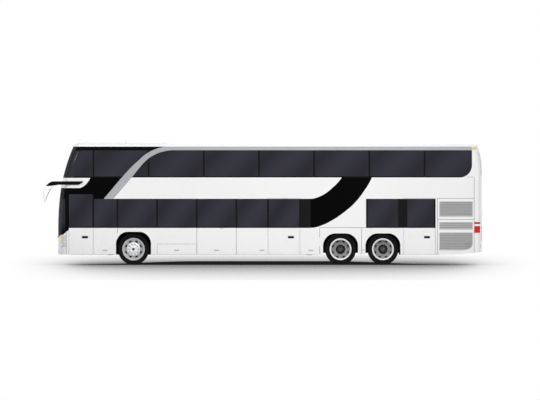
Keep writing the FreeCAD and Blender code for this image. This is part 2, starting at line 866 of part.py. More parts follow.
def door(name, start, end, head, glass_head, light_start):
    """Make a door leaf with its window opening, and its pane."""
    x0 = at(start) + leaf_gap
    x1 = at(end) - leaf_gap
    leaf = box(x0, x1, -half_width, -inner_half, skirt_height, head - leaf_gap)
    rebate = skin_box(LEFT, x0 - overrun, x1 + overrun, lower_sill, glass_head, glass)
    hole = light(LEFT, max(x0, at(light_start)) + frame_margin, x1 - frame_margin,
                 lower_sill + frame_margin, glass_head - frame_margin, pane_corner)
    leaf = leaf.cut([rebate, hole])
    leaf = with_arms(leaf, door_hinges(start), hinge_back)
    gap = seal_gap / 2
    sheet = box(x0, x1, -half_width, glass - half_width, lower_sill + gap, glass_head - gap)
    return leaf, sheet


def flap(start, end, head):
    """Make a top-hinged flap of the left side."""
    leaf = box(at(start) + leaf_gap, at(end) - leaf_gap, -half_width, -inner_half,
               skirt_height, head - leaf_gap)
    return with_arms(leaf, flap_hinges(start, end, head), hinge_back)


def mirrored(shape):
    """Give the same shape on the other side of the coach."""
    return shape.mirror(Vec(0, 0, 0), Vec(0, 1, 0))


def screen_prisms():
    """Make the spaces of the lower and upper windscreens, seen from the side."""
    ahead = x_nose - overrun
    gap = seal_gap / 2
    back = at(front_split)
    lower = [
        (ahead, screen_sill), (x_nose, screen_sill), (at(screen_corner_station), screen_corner_sill),
        (back, screen_side_sill), (back, screen_head), (ahead, screen_head)]
    upper = box(ahead, at(body_length / 2), -body_width, body_width, top_screen_sill + gap,
                top_screen_head)
    return side_prism(lower, -body_width, body_width), upper


def lamp_spaces(gap):
    """Make the spaces of the front lamps of the left side: head lamp, then turn lamp."""
    lamps = (
        (head_lamp_inner, head_lamp_station, head_lamp_sill, head_lamp_head),
        (turn_lamp_inner, turn_lamp_station, turn_lamp_sill, turn_lamp_head))
    spaces = []
    for inner, station, sill, head in lamps:
        depth = station + front_bow
        block = box(x_nose - overrun, at(depth), -half_width - overrun, -inner - gap,
                    sill + gap, head - gap)
        spaces.append(round_along(block, 0, (head - sill) / 4))
    return spaces


def front_parts(outer, inner, glass_form, lamp_form, ahead):
    """Make the front panel, the windscreens and the front lamps."""
    shell = outer.cut(inner).common(ahead).Solids[0]
    glass_skin = outer.cut(glass_form).common(ahead)
    lower, upper = screen_prisms()
    screens = [glass_skin.common(prism).Solids[0] for prism in (lower, upper)]
    lamp_skin = outer.cut(lamp_form).common(ahead)
    lamps = []
    spaces = []
    for space in lamp_spaces(0):
        spaces += [space, mirrored(space)]
    for space in lamp_spaces(seal_gap / 2):
        lamp = lamp_skin.common(space).Solids[0]
        lamps += [lamp, mirrored(lamp)]
    recess = [lamp_skin.common(space) for space in spaces]
    reach = (x_nose - overrun, at(screen_side_sill))
    lower_light = round_along(box(*reach, -screen_light_half, screen_light_half,
                                  screen_light_sill, screen_light_head), 0, pane_corner)
    upper_light = round_along(box(*reach, -screen_light_half, screen_light_half,
                                  top_screen_sill + top_screen_margin,
                                  top_screen_light_head), 0, pane_corner)
    hinges = door_hinges(front_split)
    panel = shell.cut(screens + recess + [lower_light, upper_light] + pockets(hinges, hinge_back))
    return panel.Solids, screens, lamps


def rear_parts(outer, inner, glass_form, lamp_form, tail):
    """Make the rear panel, the rear window, the tail lamps and the engine lid."""
    behind = box(at(rear_split), at(body_length + overrun), -body_width, body_width,
                 0, body_height + overrun)
    shell = outer.cut(inner).common(behind).cut(tail)
    glass_skin = outer.cut(glass_form).common(behind)
    reach = (at(rear_split), at(body_length + overrun))
    gap = seal_gap / 2

    def window(margin, corner):
        block = box(*reach, -rear_light_half + margin, rear_light_half - margin,
                    rear_light_sill + margin, rear_light_head - margin)
        return round_along(block, 0, corner)

    window_glass = glass_skin.common(window(gap, pane_corner + frame_margin))
    window_rebate = glass_skin.common(window(0, pane_corner + frame_margin))
    lamp_skin = outer.cut(lamp_form).common(behind)
    lamp_box = box(at(rear_split) + wall, reach[1], -half_width - overrun, -tail_lamp_inner,
                   tail_lamp_sill, tail_lamp_head)
    lamp = lamp_skin.common(lamp_box).Solids[0]
    lid_space = box(*reach, -lid_half, lid_half, lid_bottom, lid_head)
    lid = shell.common(box(*reach, leaf_gap - lid_half, lid_half - leaf_gap,
                           lid_bottom + leaf_gap, lid_head - leaf_gap)).Solids[0]
    lid = with_arms(lid, lid_hinges(), lid_hinge_back)
    cuts = [window_rebate, window(frame_margin, pane_corner), lamp_skin.common(lamp_box),
            lamp_skin.common(mirrored(lamp_box)), lid_space] + pockets(lid_hinges(), lid_hinge_back)
    return shell.cut(cuts).Solids, [window_glass.Solids[0]], [lamp, mirrored(lamp)], [lid]


def roof_part(outer, inner, ahead):
    """Make the roof with its round edges, between the front and rear panels."""
    over = box(x_nose, at(rear_split), -body_width, body_width, cantrail_height,
               body_height + overrun)
    return outer.cut(inner).common(over).cut(ahead).Solids


def rail_blocks():
    """List the stretches of a frame rail: start, end, bottom and top."""
    low = low_floor - floor_plate - rail_depth
    low_top = low_floor - floor_plate
    high_top = high_rail_bottom + high_rail_depth
    post_top = high_floor - floor_plate
    rise = rear_step + floor_plate + plate_gap
    fall = well_start - floor_plate
    climb = well_end + floor_plate
    return (
        (frame_start, rise + rail_width, low, low_top),
        (rise, rise + rail_width, low_top + plate_gap, high_rail_bottom - plate_gap),
        (rise, fall, high_rail_bottom, high_top),
        (rise + rail_width, rise + 2 * rail_width, high_top + plate_gap, post_top),
        (fall - 2 * rail_width, fall - rail_width, high_top + plate_gap, post_top),
        (fall - rail_width, fall, low_top + plate_gap, high_rail_bottom - plate_gap),
        (fall - rail_width, climb + rail_width, low, low_top),
        (climb, climb + rail_width, low_top + plate_gap, high_rail_bottom - plate_gap),
        (climb, frame_end, high_rail_bottom, high_top))


def cross_stations():
    """List the crossmembers: station of the front face, bottom and top."""
    low = low_floor - floor_plate - rail_depth
    low_top = low_floor - floor_plate
    high_top = high_rail_bottom + high_rail_depth
    front_arch_start = front_axle_station - front_arch_half
    front_arch_end = front_axle_station + front_arch_half
    between = (drive_axle_station + tag_axle_station - cross_width) / 2
    lower = (frame_start, front_door_end + leaf_gap, front_arch_start - 2 * cross_width,
             front_arch_end + cross_width, flap_station + lower_pane_pitch / 2,
             flap_station + lower_pane_pitch * 3 / 2, plinth_end,
             mid_door_end + cross_width, rear_step - cross_width, well_start + cross_width,
             (well_start + well_end) / 2, well_end - cross_width)
    higher = (between, frame_end - cross_width)
    return [(s, low, low_top) for s in lower] + [(s, high_rail_bottom, high_top) for s in higher]


def underframe():
    """Make the cranked ladder frame: rails, crossmembers, outriggers and jacking pads.

    Each member ends just short of the one that carries it, as it does before the weld.
    """
    members = []
    rail_outer = rail_inner + rail_width
    jack_top = low_floor - floor_plate - rail_depth - plate_gap
    for side in (LEFT, RIGHT):
        for start, end, bottom, top in rail_blocks():
            members.append(box(at(start), at(end), side * rail_inner, side * rail_outer,
                               bottom, top))
        for station, bottom, top in cross_stations():
            members.append(box(at(station), at(station) + cross_width,
                               side * (rail_outer + plate_gap), side * inner_half, bottom, top))
        for station in (front_jack_station, rear_jack_station):
            members.append(box(at(station) - jack_length / 2, at(station) + jack_length / 2,
                               side * rail_inner, side * rail_outer, jack_top - jack_depth,
                               jack_top))
    reach = rail_inner - plate_gap
    for station, bottom, top in cross_stations():
        members.append(box(at(station), at(station) + cross_width, -reach, reach, bottom, top))
    return Part.Compound(members)


def plinth_plates(side):
    """Make the four plates of a seat plinth: its top, its face to the gangway and its ends."""
    top = plinth_top - floor_plate
    foot = low_floor + plate_gap
    face = side * (plinth_inner + floor_plate)
    beside = face + side * plate_gap
    plates = [
        box(at(plinth_start), at(plinth_end), side * plinth_inner, side * inner_half, top,
            plinth_top),
        box(at(plinth_start), at(plinth_end), side * plinth_inner, face, foot, top - plate_gap)]
    for x in (at(plinth_start), at(plinth_end) - floor_plate):
        plates.append(box(x, x + floor_plate, beside, side * inner_half, foot, top - plate_gap))
    return plates


def lower_floor(inner):
    """Make the plates of the stepped lower floor, its plinths and the wall ahead of the engine."""
    deck = low_floor - floor_plate
    step = high_floor - floor_plate
    head = upper_floor - upper_floor_plate
    front = at(front_split) + wall
    foot = low_floor + plate_gap
    reach = front_arch_half + liner
    arch_start = at(front_axle_station) - reach
    arch_end = at(front_axle_station) + reach
    well = at(well_start)
    end = at(well_end)
    plates = [
        box(front, arch_start - plate_gap, -inner_half, inner_half, deck, low_floor),
        box(arch_start, arch_end, -liner_depth, liner_depth, deck, low_floor),
        box(arch_end + plate_gap, at(rear_step) + floor_plate, -inner_half, inner_half, deck,
            low_floor),
        box(at(rear_step), at(rear_step) + floor_plate, -inner_half, inner_half, foot,
            step - plate_gap),
        box(at(rear_step), well, -inner_half, inner_half, step, high_floor),
        box(well - floor_plate, well, -inner_half, inner_half, foot, step - plate_gap),
        box(well - floor_plate, end + floor_plate, -inner_half, inner_half, deck, low_floor),
        box(end, end + floor_plate, -inner_half, inner_half, foot, head)]
    for side in (LEFT, RIGHT):
        plates += plinth_plates(side)
    return Part.Compound(plates)


def upper_deck(inner):
    """Make the upper floor from wall to wall, with the opening over the stairs."""
    layer = box(x_nose, at(body_length), -body_width, body_width,
                upper_floor - upper_floor_plate, upper_floor)
    well = box(at(stair_start), at(stair_end), stair_inner - stair_string, inner_half,
               upper_floor - overrun, upper_floor + overrun)
    return inner.common(layer).cut(well)


def wheel_arches():
    """Make the six liners, open below and notched for the axles."""
    liners = []
    for axle in AXLES:
        for side in (LEFT, RIGHT):
            mouth = side * inner_half
            back = side * liner_depth
            solid = arch_prism(axle, liner, mouth, back)
            solid = solid.cut(arch_prism(axle, 0, side * half_width, back + side * liner))
            x = at(axle[0])
            solid = solid.cut([
                box(x - liner_notch_half, x + liner_notch_half, back - side * liner,
                    back + side * 2 * liner, 0, liner_notch_top),
                box(x - 2 * axle[1], x + 2 * axle[1], -body_width, body_width, 0,
                    low_floor - floor_plate)])
            liners += solid.Solids
    return liners


def revolve(points, y):
    """Turn an outline of (radius, y) points about a wheel's axle and move it to a plane."""
    corners = [Vec(radius, along, 0) for radius, along in points]
    face = Part.Face(Part.makePolygon(corners + corners[:1]))
    solid = face.revolve(Vec(0, 0, 0), Vec(0, 1, 0), 360)
    solid.translate(Vec(0, y, 0))
    return solid


def tyre(x, y):
    """Make one tyre, centred on a plane, with flat tread, round shoulders and full walls."""
    half = tyre_width / 2
    tread = wheel_radius
    bead = tyre_bead
    bulge = bead + (tread - bead) * tyre_bulge_share
    corner = tyre_shoulder / 2
    profile = [
        (bead, half - tyre_shoulder), (bulge, half), (tread - corner, tyre_tread_half),
        (tread, tyre_tread_half - corner)]
    outline = profile + [(radius, -along) for radius, along in reversed(profile)]
    solid = revolve(outline, 0)
    solid.translate(Vec(x, y, wheel_radius))
    return solid


def rim(x, y, side, dish, planes):
    """Make one slotted rim: barrel, disc set in by a dish, hub with its bore."""
    half = tyre_width / 2 - tyre_shoulder
    outer = tyre_bead - rim_gap
    inner = outer - rim_wall
    face = side * (half - dish)
    back = face - side * rim_disc
    ends = [plane + end for plane in planes for end in (-half, half)]
    barrel = Part.makeCylinder(outer, max(ends) - min(ends), Vec(0, min(ends), 0), Vec(0, 1, 0))
    barrel = barrel.cut(Part.makeCylinder(inner, 2 * body_width, Vec(0, -body_width, 0),
                                          Vec(0, 1, 0)))
    disc = revolve([(hub_bore, face), (hub_bore, back), (inner, back), (inner, face)], 0)
    hub = revolve([(hub_bore, back), (hub_radius, back), (hub_radius, face + side * wall),
                   (hub_radius - wall, face + side * hub_reach),
                   (hub_bore, face + side * hub_reach)], 0)
    solid = fuse_all([barrel, disc, hub])
    slots = []
    for i in range(slot_count):
        angle = 360 * (i + 1 / 2) / slot_count
        slot = box(slot_radius - slot_half_width, slot_radius + slot_half_width, face - side * wall,
                   face + side * wall, -slot_half_length, slot_half_length)
        slot = round_along(slot, 1, slot_half_width * 0.9)
        slot.rotate(Vec(0, 0, 0), Vec(0, 1, 0), angle)
        slots.append(slot)
    solid = solid.cut(slots)
    solid.translate(Vec(x, y, wheel_radius))
    return solid


wheel_plane = half_width - tyre_face_inset - tyre_width / 2
kingpin_y = wheel_plane - kingpin_offset


def wheels():
    """Make the tyres and rims of the six wheels; the drive axle's are twins."""
    parts = {}
    for end, station, dish, twin in (
            ("front", front_axle_station, front_dish, False),
            ("drive", drive_axle_station, rear_dish, True),
            ("tag", tag_axle_station, rear_dish, False)):
        for word, side in (("left", LEFT), ("right", RIGHT)):
            x = at(station)
            y = side * wheel_plane
            planes = [0, -side * twin_pitch] if twin else [0]
            parts["tyre_%s_%s" % (end, word)] = [tyre(x, y + plane) for plane in planes]
            parts["rim_%s_%s" % (end, word)] = [rim(x, y, side, dish, planes)]
    return parts


def spindle(side, x, dish, root):
    """Make the stub that carries a rim, from its root to inside the hub."""
    half = tyre_width / 2 - tyre_shoulder
    tip = wheel_plane + half - dish + hub_reach - wall / 2
    return Part.makeCylinder(spindle_radius, tip - root, Vec(x, side * root, wheel_radius),
                             Vec(0, side, 0))


def front_axle():
    """Make the dropped beam with its two kingpin eyes and the spring seats."""
    x = at(front_axle_station)
    top = beam_bottom + beam_depth
    end = kingpin_y
    neck = end - kingpin_boss - fork_clear
    eye_low = wheel_radius - boss_half
    eye_top = wheel_radius + boss_half
    outline = [
        (-end, eye_low), (-neck, eye_low), (-beam_flat_half - beam_depth, beam_bottom),
        (beam_flat_half + beam_depth, beam_bottom), (neck, eye_low), (end, eye_low),
        (end, eye_top),
        (beam_flat_half, top), (-beam_flat_half, top), (-end, eye_top)]
    parts = [end_prism(outline, x - beam_width / 2, x + beam_width / 2)]
    seat_top = low_floor - floor_plate - rail_depth
    holes = []
    for side in (LEFT, RIGHT):
        foot = Vec(x, side * end, eye_low)
        parts.append(Part.makeCylinder(kingpin_boss + wall / 2, 2 * boss_half, foot))
        holes.append(Part.makeCylinder(kingpin_radius + spindle_clear, 2 * boss_half, foot))
        parts.append(box(x - spring_radius, x + spring_radius, side * rail_inner,
                         side * beam_flat_half, beam_bottom + beam_depth / 2, seat_top))
    return fuse_all(parts).cut(holes)


def knuckle(side):
    """Make one steering knuckle: fork, kingpin, spindle and steering arm."""
    x = at(front_axle_station)
    y = side * kingpin_y
    low = wheel_radius - boss_half - fork_gap
    high = wheel_radius + boss_half + fork_gap
    radius = kingpin_boss
    web = kingpin_boss + wall / 2 + fork_gap * 2
    parts = []
    for bottom in (low - fork_height, high):
        parts.append(Part.makeCylinder(radius, fork_height, Vec(x, y, bottom)))
        parts.append(box(x - radius, x + radius, y, y + side * (web + knuckle_web), bottom,
                         bottom + fork_height))
    parts.append(box(x - radius, x + radius, y + side * web, y + side * (web + knuckle_web),
                     low - fork_height, high + fork_height))
    parts.append(Part.makeCylinder(kingpin_radius, high - low + fork_height,
                                   Vec(x, y, low - fork_height / 2)))
    parts.append(spindle(side, x, front_dish, kingpin_y + web))
    arm_top = steer_arm_level + steer_arm_height
    parts.append(Part.makeCylinder(kingpin_radius, low - fork_height - steer_arm_level,
                                   Vec(x, y, steer_arm_level)))
    arm = box(x - steer_arm, x, y - steer_arm_width / 2, y + steer_arm_width / 2,
              steer_arm_level, arm_top)
    eye = Part.makeCylinder(steer_arm_width / 2, steer_arm_height,
                            Vec(x - steer_arm, y, steer_arm_level))
    parts += [arm, eye]
    hole = Part.makeCylinder(ball_pin + ball_clear, 2 * steer_arm_height,
                             Vec(x - steer_arm, y, steer_arm_level - steer_arm_height / 2))
    return fuse_all(parts).cut(hole)


def track_rod():
    """Make the rod between the two steering arms, with its upright end pins."""
    x = at(front_axle_station) - steer_arm
    end = kingpin_y
    rod = Part.makeCylinder(track_rod_radius, 2 * end, Vec(x, -end, track_rod_level), Vec(0, 1, 0))
    parts = [rod]
    for side in (LEFT, RIGHT):
        parts.append(Part.makeSphere(track_rod_radius * 1.3, Vec(x, side * end, track_rod_level)))
        parts.append(Part.makeCylinder(ball_pin, steer_arm_level + steer_arm_height
                                       - track_rod_level, Vec(x, side * end, track_rod_level)))
    return fuse_all(parts)


def rear_axle(station, with_diff):
    """Make a rear axle tube with its spindles, spring seats and air springs."""
    x = at(station)
    root = liner_depth
    tube = Part.makeCylinder(axle_tube, 2 * root, Vec(x, -root, wheel_radius), Vec(0, 1, 0))
    parts = [tube]
    for side in (LEFT, RIGHT):
        parts.append(spindle(side, x, rear_dish, root - wall))
        seat = box(x - spring_radius, x + spring_radius, side * (spring_centre - spring_radius),
                   side * (spring_centre + spring_radius), wheel_radius,
                   wheel_radius + axle_tube + spring_seat_height)
        bag_foot = wheel_radius + axle_tube + spring_seat_height
        bag = Part.makeCylinder(spring_radius, high_rail_bottom - bag_foot,
                                Vec(x, side * spring_centre, bag_foot))
        parts += [seat, bag]
    if with_diff:
        bowl = revolve([(0, -diff_half), (diff_radius / 2, -diff_half), (diff_radius, -axle_tube),
                        (diff_radius, axle_tube), (diff_radius / 2, diff_half), (0, diff_half)], 0)
        bowl.translate(Vec(x, 0, wheel_radius))
        parts.append(bowl)
    return fuse_all(parts)


def engine():
    """Make the engine as one block between the frame rails."""
    return box(at(engine_start), at(engine_start + engine_length), -rail_inner, rail_inner,
               engine_bottom, engine_bottom + engine_height)


def grille(side, sill, head):
    """Make one grille: a frame with sloping slats, shaped by its opening."""
    outer = grille_space(side, sill, head, grille_gap, grille_depth)
    y_out = side * half_width
    y_in = side * (half_width - grille_depth)
    x0 = at(grille_start) + grille_frame
    x1 = at(grille_end) - grille_frame
    inside = box(x0, x1, side * (half_width + overrun), side * (inner_half - overrun),
                 sill + grille_frame, head - grille_frame)
    if sill == grille_bottom:
        edges = [edge for edge in inside.Edges
                 if edge.BoundBox.XLength + edge.BoundBox.ZLength < seal_gap
                 and edge.CenterOfMass.x > (x0 + x1) / 2
                 and edge.CenterOfMass.z < (sill + head) / 2]
        inside = inside.makeFillet(grille_corner - grille_frame, edges)
    frame = outer.cut(inside)
    room = head - sill - 2 * grille_frame
    count = max(1, int(room / slat_pitch))
    step = room / count
    slats = []
    for i in range(count):
        z = sill + grille_frame + i * step
        corners = [(y_out, z), (y_in, z + step - slat_height), (y_in, z + step), (y_out, z + slat_height)]
        slats.append(end_prism(corners, x0 - seal_gap, x1 + seal_gap).common(outer))
    return fuse_all([frame] + slats)


def mirror():
    """Make the left mirror: the flat arm along the side and the hanging head."""
    y0 = -half_width
    y1 = y0 - mirror_arm_thick
    turn = mirror_arm_low_rear + (mirror_arm_rear - mirror_arm_low_rear) * mirror_arm_curve_share
    outline = [
        (at(mirror_arm_low_rear), mirror_arm_bottom), (at(turn), (mirror_arm_bottom + mirror_arm_top) / 2),
        (at(mirror_arm_rear), mirror_arm_top), (at(-mirror_arm_bend), mirror_arm_top),
        (at(-mirror_arm_tip), mirror_arm_tip_height), (at(-mirror_arm_tip), mirror_arm_low_tip),
        (at(-mirror_arm_bend), mirror_arm_low_tip), (at(-mirror_arm_step), mirror_arm_bottom)]
    arm = side_prism(outline, y0, y1)
    front = at(-mirror_head_front)
    points = [
        Vec(front, 0, mirror_head_top), Vec(at(-mirror_reach), 0, mirror_head_belly),
        Vec(at(-mirror_head_foot_reach), 0, mirror_head_foot),
        Vec(at(-mirror_head_belly_back), 0, mirror_head_belly),
        Vec(at(-mirror_head_back), 0, mirror_head_top)]
    wire = Part.Wire([
        Part.Arc(points[0], points[1], points[2]).toShape(),
        Part.Arc(points[2], points[3], points[4]).toShape(),
        Part.LineSegment(points[4], points[0]).toShape()])
    head = Part.Face(wire).extrude(Vec(0, 2 * mirror_head_half, 0))
    head.translate(Vec(0, (y0 + y1) / 2 - mirror_head_half, 0))
    neck = box(at(-mirror_arm_tip), at(-mirror_arm_tip + mirror_arm_bend), y0, y1,
               mirror_head_top - mirror_head_edge, mirror_arm_low_tip)
    return fuse_all([arm, head, neck])


def seat(x, y0, y1, floor):
    """Make one seat bench facing forwards: cushion, leaning back and box leg."""
    cushion_low = floor + seat_height - seat_cushion
    cushion_top = floor + seat_height
    back_top = floor + seat_back
    rear = x + seat_depth
    outline = [
        (x, cushion_low), (rear, cushion_low), (rear + seat_lean, back_top),
        (rear + seat_lean - seat_back_thick, back_top), (rear - seat_back_thick, cushion_top),
        (x, cushion_top)]
    middle = (y0 + y1) / 2
    leg = box(x + (seat_depth - seat_leg_depth) / 2, x + (seat_depth + seat_leg_depth) / 2,
              middle - seat_leg_half, middle + seat_leg_half, floor, cushion_low)
    return fuse_all([side_prism(outline, y0, y1), leg])


def lower_seats():
    """Make the lower seats on their plinths and the driver's seat."""
    narrow = inner_half - plinth_inner - 2 * seat_wall_gap
    benches = []
    for side, rows in ((LEFT, lower_left_rows), (RIGHT, lower_right_rows)):
        outer = side * (inner_half - seat_wall_gap)
        inner = outer - side * narrow
        for i in range(rows):
            benches.append(seat(at(lower_seat_start + seat_pitch * i), min(inner, outer),
                                max(inner, outer), plinth_top))
    y = driver_place
    benches.append(seat(at(driver_seat_station), y - driver_seat_width / 2,
                        y + driver_seat_width / 2, low_floor))
    return benches


def upper_seats():
    """Make the upper seats, leaving out those over the stairs."""
    benches = []
    for side in (LEFT, RIGHT):
        outer = side * (inner_half - seat_wall_gap)
        inner = outer - side * seat_width
        for i in range(upper_rows):
            station = upper_seat_start + seat_pitch * i
            over_stairs = stair_start - seat_depth - seat_lean < station < stair_end
            if side == RIGHT and over_stairs:
                continue
            benches.append(seat(at(station), min(inner, outer), max(inner, outer), upper_floor))
    return benches


def stairs():
    """Make the straight stairs up to the upper floor between two strings."""
    top = upper_floor - upper_floor_plate
    rise = (upper_floor - low_floor) / stair_count
    going = (stair_end - stair_start - stair_tread) / stair_count
    y0 = stair_inner
    y1 = inner_half - stair_string - liner
    blocks = []
    for i in range(stair_count - 1):
        z = low_floor + rise * (i + 1)
        x = at(stair_start) + going * i
        blocks.append(box(x, x + going + stair_tread, y0, y1, z - stair_tread, z))
        blocks.append(box(x, x + stair_tread, y0, y1, z - rise, z))
    last = at(stair_start) + going * (stair_count - 1)
    blocks.append(box(last, last + stair_tread, y0, y1, top - rise + upper_floor_plate, top))
    string = [
        (at(stair_start), low_floor), (at(stair_start) + 2 * going, low_floor),
        (last + stair_tread, top - 2 * rise), (last + stair_tread, top), (last - going, top),
        (at(stair_start), low_floor + rise)]
    for y in (y0, y1):
        blocks.append(side_prism(string, y, y + stair_string * (1 if y == y1 else -1)))
    return fuse_all(blocks).cut(plinth_room())


def plinth_room():
    """Make the space that the right-hand seat plinth takes under the stairs."""
    return box(at(plinth_start), at(plinth_end), plinth_inner, inner_half, 0, plinth_top)


def dashboard():
    """Make the dashboard across the front with the steering column and wheel on it."""
    front = at(dash_station)
    low = dash_height - dash_drop
    half = inner_half - dash_end_gap
    outline = [
        (front, low_floor), (front + wall, low_floor), (front + wall, low),
        (front + dash_depth, low), (front + dash_depth, dash_height - wall), (front + dash_depth / 2,
                                                                           dash_height),
        (front, dash_height)]
    panel = side_prism(outline, 0, half)
    foot = Vec(front + dash_depth / 2, driver_place, dash_height - dash_drop / 2)
    lean = Vec(column_lean, 0, column_length).normalize()
    column = Part.makeCylinder(column_radius, column_length, foot, lean)
    centre = foot + lean * column_length
    rim_foot = centre - lean * steering_rim
    ring = Part.makeCylinder(steering_wheel_radius, 2 * steering_rim, rim_foot, lean).cut(
        Part.makeCylinder(steering_wheel_radius - 2 * steering_rim, 2 * steering_rim, rim_foot,
                          lean))
    hub = Part.makeCylinder(steering_hub, steering_rim * 2, centre - lean * steering_rim, lean)
    bar = box(-spoke_half, spoke_half, -steering_wheel_radius, steering_wheel_radius,
              -steering_rim / 2, steering_rim / 2)
    bar.Placement = FreeCAD.Placement(centre, FreeCAD.Rotation(Vec(0, 0, 1), lean))
    return fuse_all([panel, column, ring, hub, bar])


def wipers(near, far):
    """Make the two wipers that lie along the foot of the windscreen."""
    layer = far.cut(near)
    parts = []
    for side in (LEFT, RIGHT):
        y0 = side * wiper_pivot_half
        y1 = side * wiper_reach
        z0 = screen_sill - wiper_pivot_drop
        z1 = wiper_height
        bar = end_prism([(y0, z0), (y1, z1 - wiper_rise), (y1, z1 - wiper_rise + wiper_bar),
                         (y0, z0 + wiper_bar)] if side == RIGHT else
                        [(y0, z0 + wiper_bar), (y1, z1 - wiper_rise + wiper_bar),
                         (y1, z1 - wiper_rise), (y0, z0)],
                        x_nose - overrun, at(front_split))
        blade = layer.common(bar).Solids[0]
        hub = Part.makeCylinder(wiper_hub / 2, front_bow + wiper_thick,
                                Vec(x_nose - wiper_thick, y0, z0 + wiper_bar / 2), Vec(1, 0, 0))
        hub = hub.cut(near)
        parts.append(fuse_all([blade] + hub.Solids))
    return parts


def build():
    """Make every piece and give them by name."""
    outer = body_form(0, skirt_height)
    inner = body_form(wall, skirt_height - overrun)
    glass_form = body_form(glass, skirt_height - overrun)
    lamp_form = body_form(lamp_depth, skirt_height - overrun)
    near = body_form(0, skirt_height - overrun)
    far = body_form(-wiper_thick, skirt_height - overrun)
    ahead = front_block()
    tail = tail_cut()
    parts = {}
    panel, screens, lamps = front_parts(outer, inner, glass_form, lamp_form, ahead)
    parts["front_panel"] = panel
    parts["windscreens"] = screens
    parts["front_lamps"] = lamps
    panel, window, lamps, lid = rear_parts(outer, inner, glass_form, lamp_form, tail)
    parts["rear_panel"] = panel
    parts["rear_window"] = window
    parts["tail_lamps"] = lamps
    parts["engine_lid"] = lid
    parts["roof"] = roof_part(outer, inner, ahead)
    left = side_wall(LEFT, ahead, tail)
    right = side_wall(RIGHT, ahead, tail)
    for name, start, end, head, glass_head, light_start in DOORS:
        leaf, sheet = door(name, start, end, head, glass_head, light_start)
        parts[name] = [leaf]
        parts[name + "_glass"] = [sheet]
        if start != front_split:
            left = left.cut(pockets(door_hinges(start), hinge_back))
    for word, start, end, head in flap_spans():
        leaf = flap(start, end, head)
        parts["flap_left_" + word] = [leaf]
        parts["flap_right_" + word] = [mirrored(leaf)]
        cuts = pockets(flap_hinges(start, end, head), hinge_back)
        left = left.cut(cuts)
        right = right.cut([mirrored(cut) for cut in cuts])
    parts["side_wall_left"] = left.Solids
    parts["side_wall_right"] = right.Solids
    parts["side_windows_left"] = side_glass(LEFT, ahead)
    parts["side_windows_right"] = side_glass(RIGHT, ahead)
    parts["side_grilles"] = [grille(side, sill, head) for side in (LEFT, RIGHT)
                             for sill, head in GRILLES]
    parts["wheel_arches"] = wheel_arches()
    parts["underframe"] = [underframe()]
    parts["lower_floor"] = lower_floor(inner).Solids
    parts["upper_floor"] = upper_deck(inner).Solids
    parts["front_axle"] = [front_axle()]
    parts["drive_axle"] = [rear_axle(drive_axle_station, True)]
    parts["tag_axle"] = [rear_axle(tag_axle_station, False)]
    parts["knuckle_left"] = [knuckle(LEFT)]
    parts["knuckle_right"] = [knuckle(RIGHT)]
    parts["track_rod"] = [track_rod()]
    parts["engine"] = [engine()]
    parts["seats_lower"] = lower_seats()
    parts["seats_upper"] = upper_seats()
    parts["stairs"] = stairs().Solids
    parts["dashboard"] = [dashboard()]
    arm = mirror()
    parts["mirrors"] = [arm, mirrored(arm)]
    parts["wipers"] = wipers(near, far)
    parts.update(wheels())
    return parts


def main():
    """Write one file per piece."""
    os.makedirs("parts", exist_ok=True)
    for name, solids in build().items():
        shape = solids[0] if len(solids) == 1 else Part.makeCompound(solids)
        shape.exportStep("parts/%s.step" % name)
        print(name, len(shape.Solids), round(shape.Volume / 1e6, 1), shape.isValid())


main()
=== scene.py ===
"""Dress the packed coach: finishes, tyres, wheels, lamps, mirrors, trim, seats and the studio."""
import functools
import math

import bpy
import numpy as np
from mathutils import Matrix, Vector


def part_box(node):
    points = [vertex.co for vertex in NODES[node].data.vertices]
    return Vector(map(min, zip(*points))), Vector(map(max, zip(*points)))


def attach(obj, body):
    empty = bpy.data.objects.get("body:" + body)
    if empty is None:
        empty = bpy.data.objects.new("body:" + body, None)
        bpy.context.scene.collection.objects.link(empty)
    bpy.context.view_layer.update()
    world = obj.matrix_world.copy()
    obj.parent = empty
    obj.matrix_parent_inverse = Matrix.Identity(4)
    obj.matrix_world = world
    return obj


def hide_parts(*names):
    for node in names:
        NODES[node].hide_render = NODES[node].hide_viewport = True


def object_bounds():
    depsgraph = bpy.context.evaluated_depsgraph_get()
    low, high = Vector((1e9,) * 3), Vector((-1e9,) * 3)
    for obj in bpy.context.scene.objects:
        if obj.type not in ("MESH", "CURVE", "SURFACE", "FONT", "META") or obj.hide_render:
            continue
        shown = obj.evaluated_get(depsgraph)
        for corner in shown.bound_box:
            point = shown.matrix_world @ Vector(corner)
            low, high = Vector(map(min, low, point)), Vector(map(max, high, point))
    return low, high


bl_info = {
    "name": "Coach dressing",
    "version": (1, 0, 0),
    "blender": (4, 5, 0),
    "location": "3D View > Sidebar > Coach",
    "description": "Finishes and detail for a two-level coach",
    "category": "Object",
}

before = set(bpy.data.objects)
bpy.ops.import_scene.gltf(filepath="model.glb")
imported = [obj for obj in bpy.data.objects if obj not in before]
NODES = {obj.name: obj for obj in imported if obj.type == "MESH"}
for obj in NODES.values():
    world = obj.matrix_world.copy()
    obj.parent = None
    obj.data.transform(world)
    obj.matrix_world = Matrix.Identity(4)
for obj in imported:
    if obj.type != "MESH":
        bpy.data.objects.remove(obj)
LOW, HIGH = [[float(v) for v in corner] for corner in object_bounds()]

# The body's foremost point, and the side walls' outer faces, in metres
NOSE = -6.685
SIDE = 1.275
WHEELS = [axle + side for axle in ("front", "drive", "tag") for side in ("_left", "_right")]


def linked(name, data):
    """A new object in the scene."""
    item = bpy.data.objects.new(name, data)
    bpy.context.scene.collection.objects.link(item)
    return item


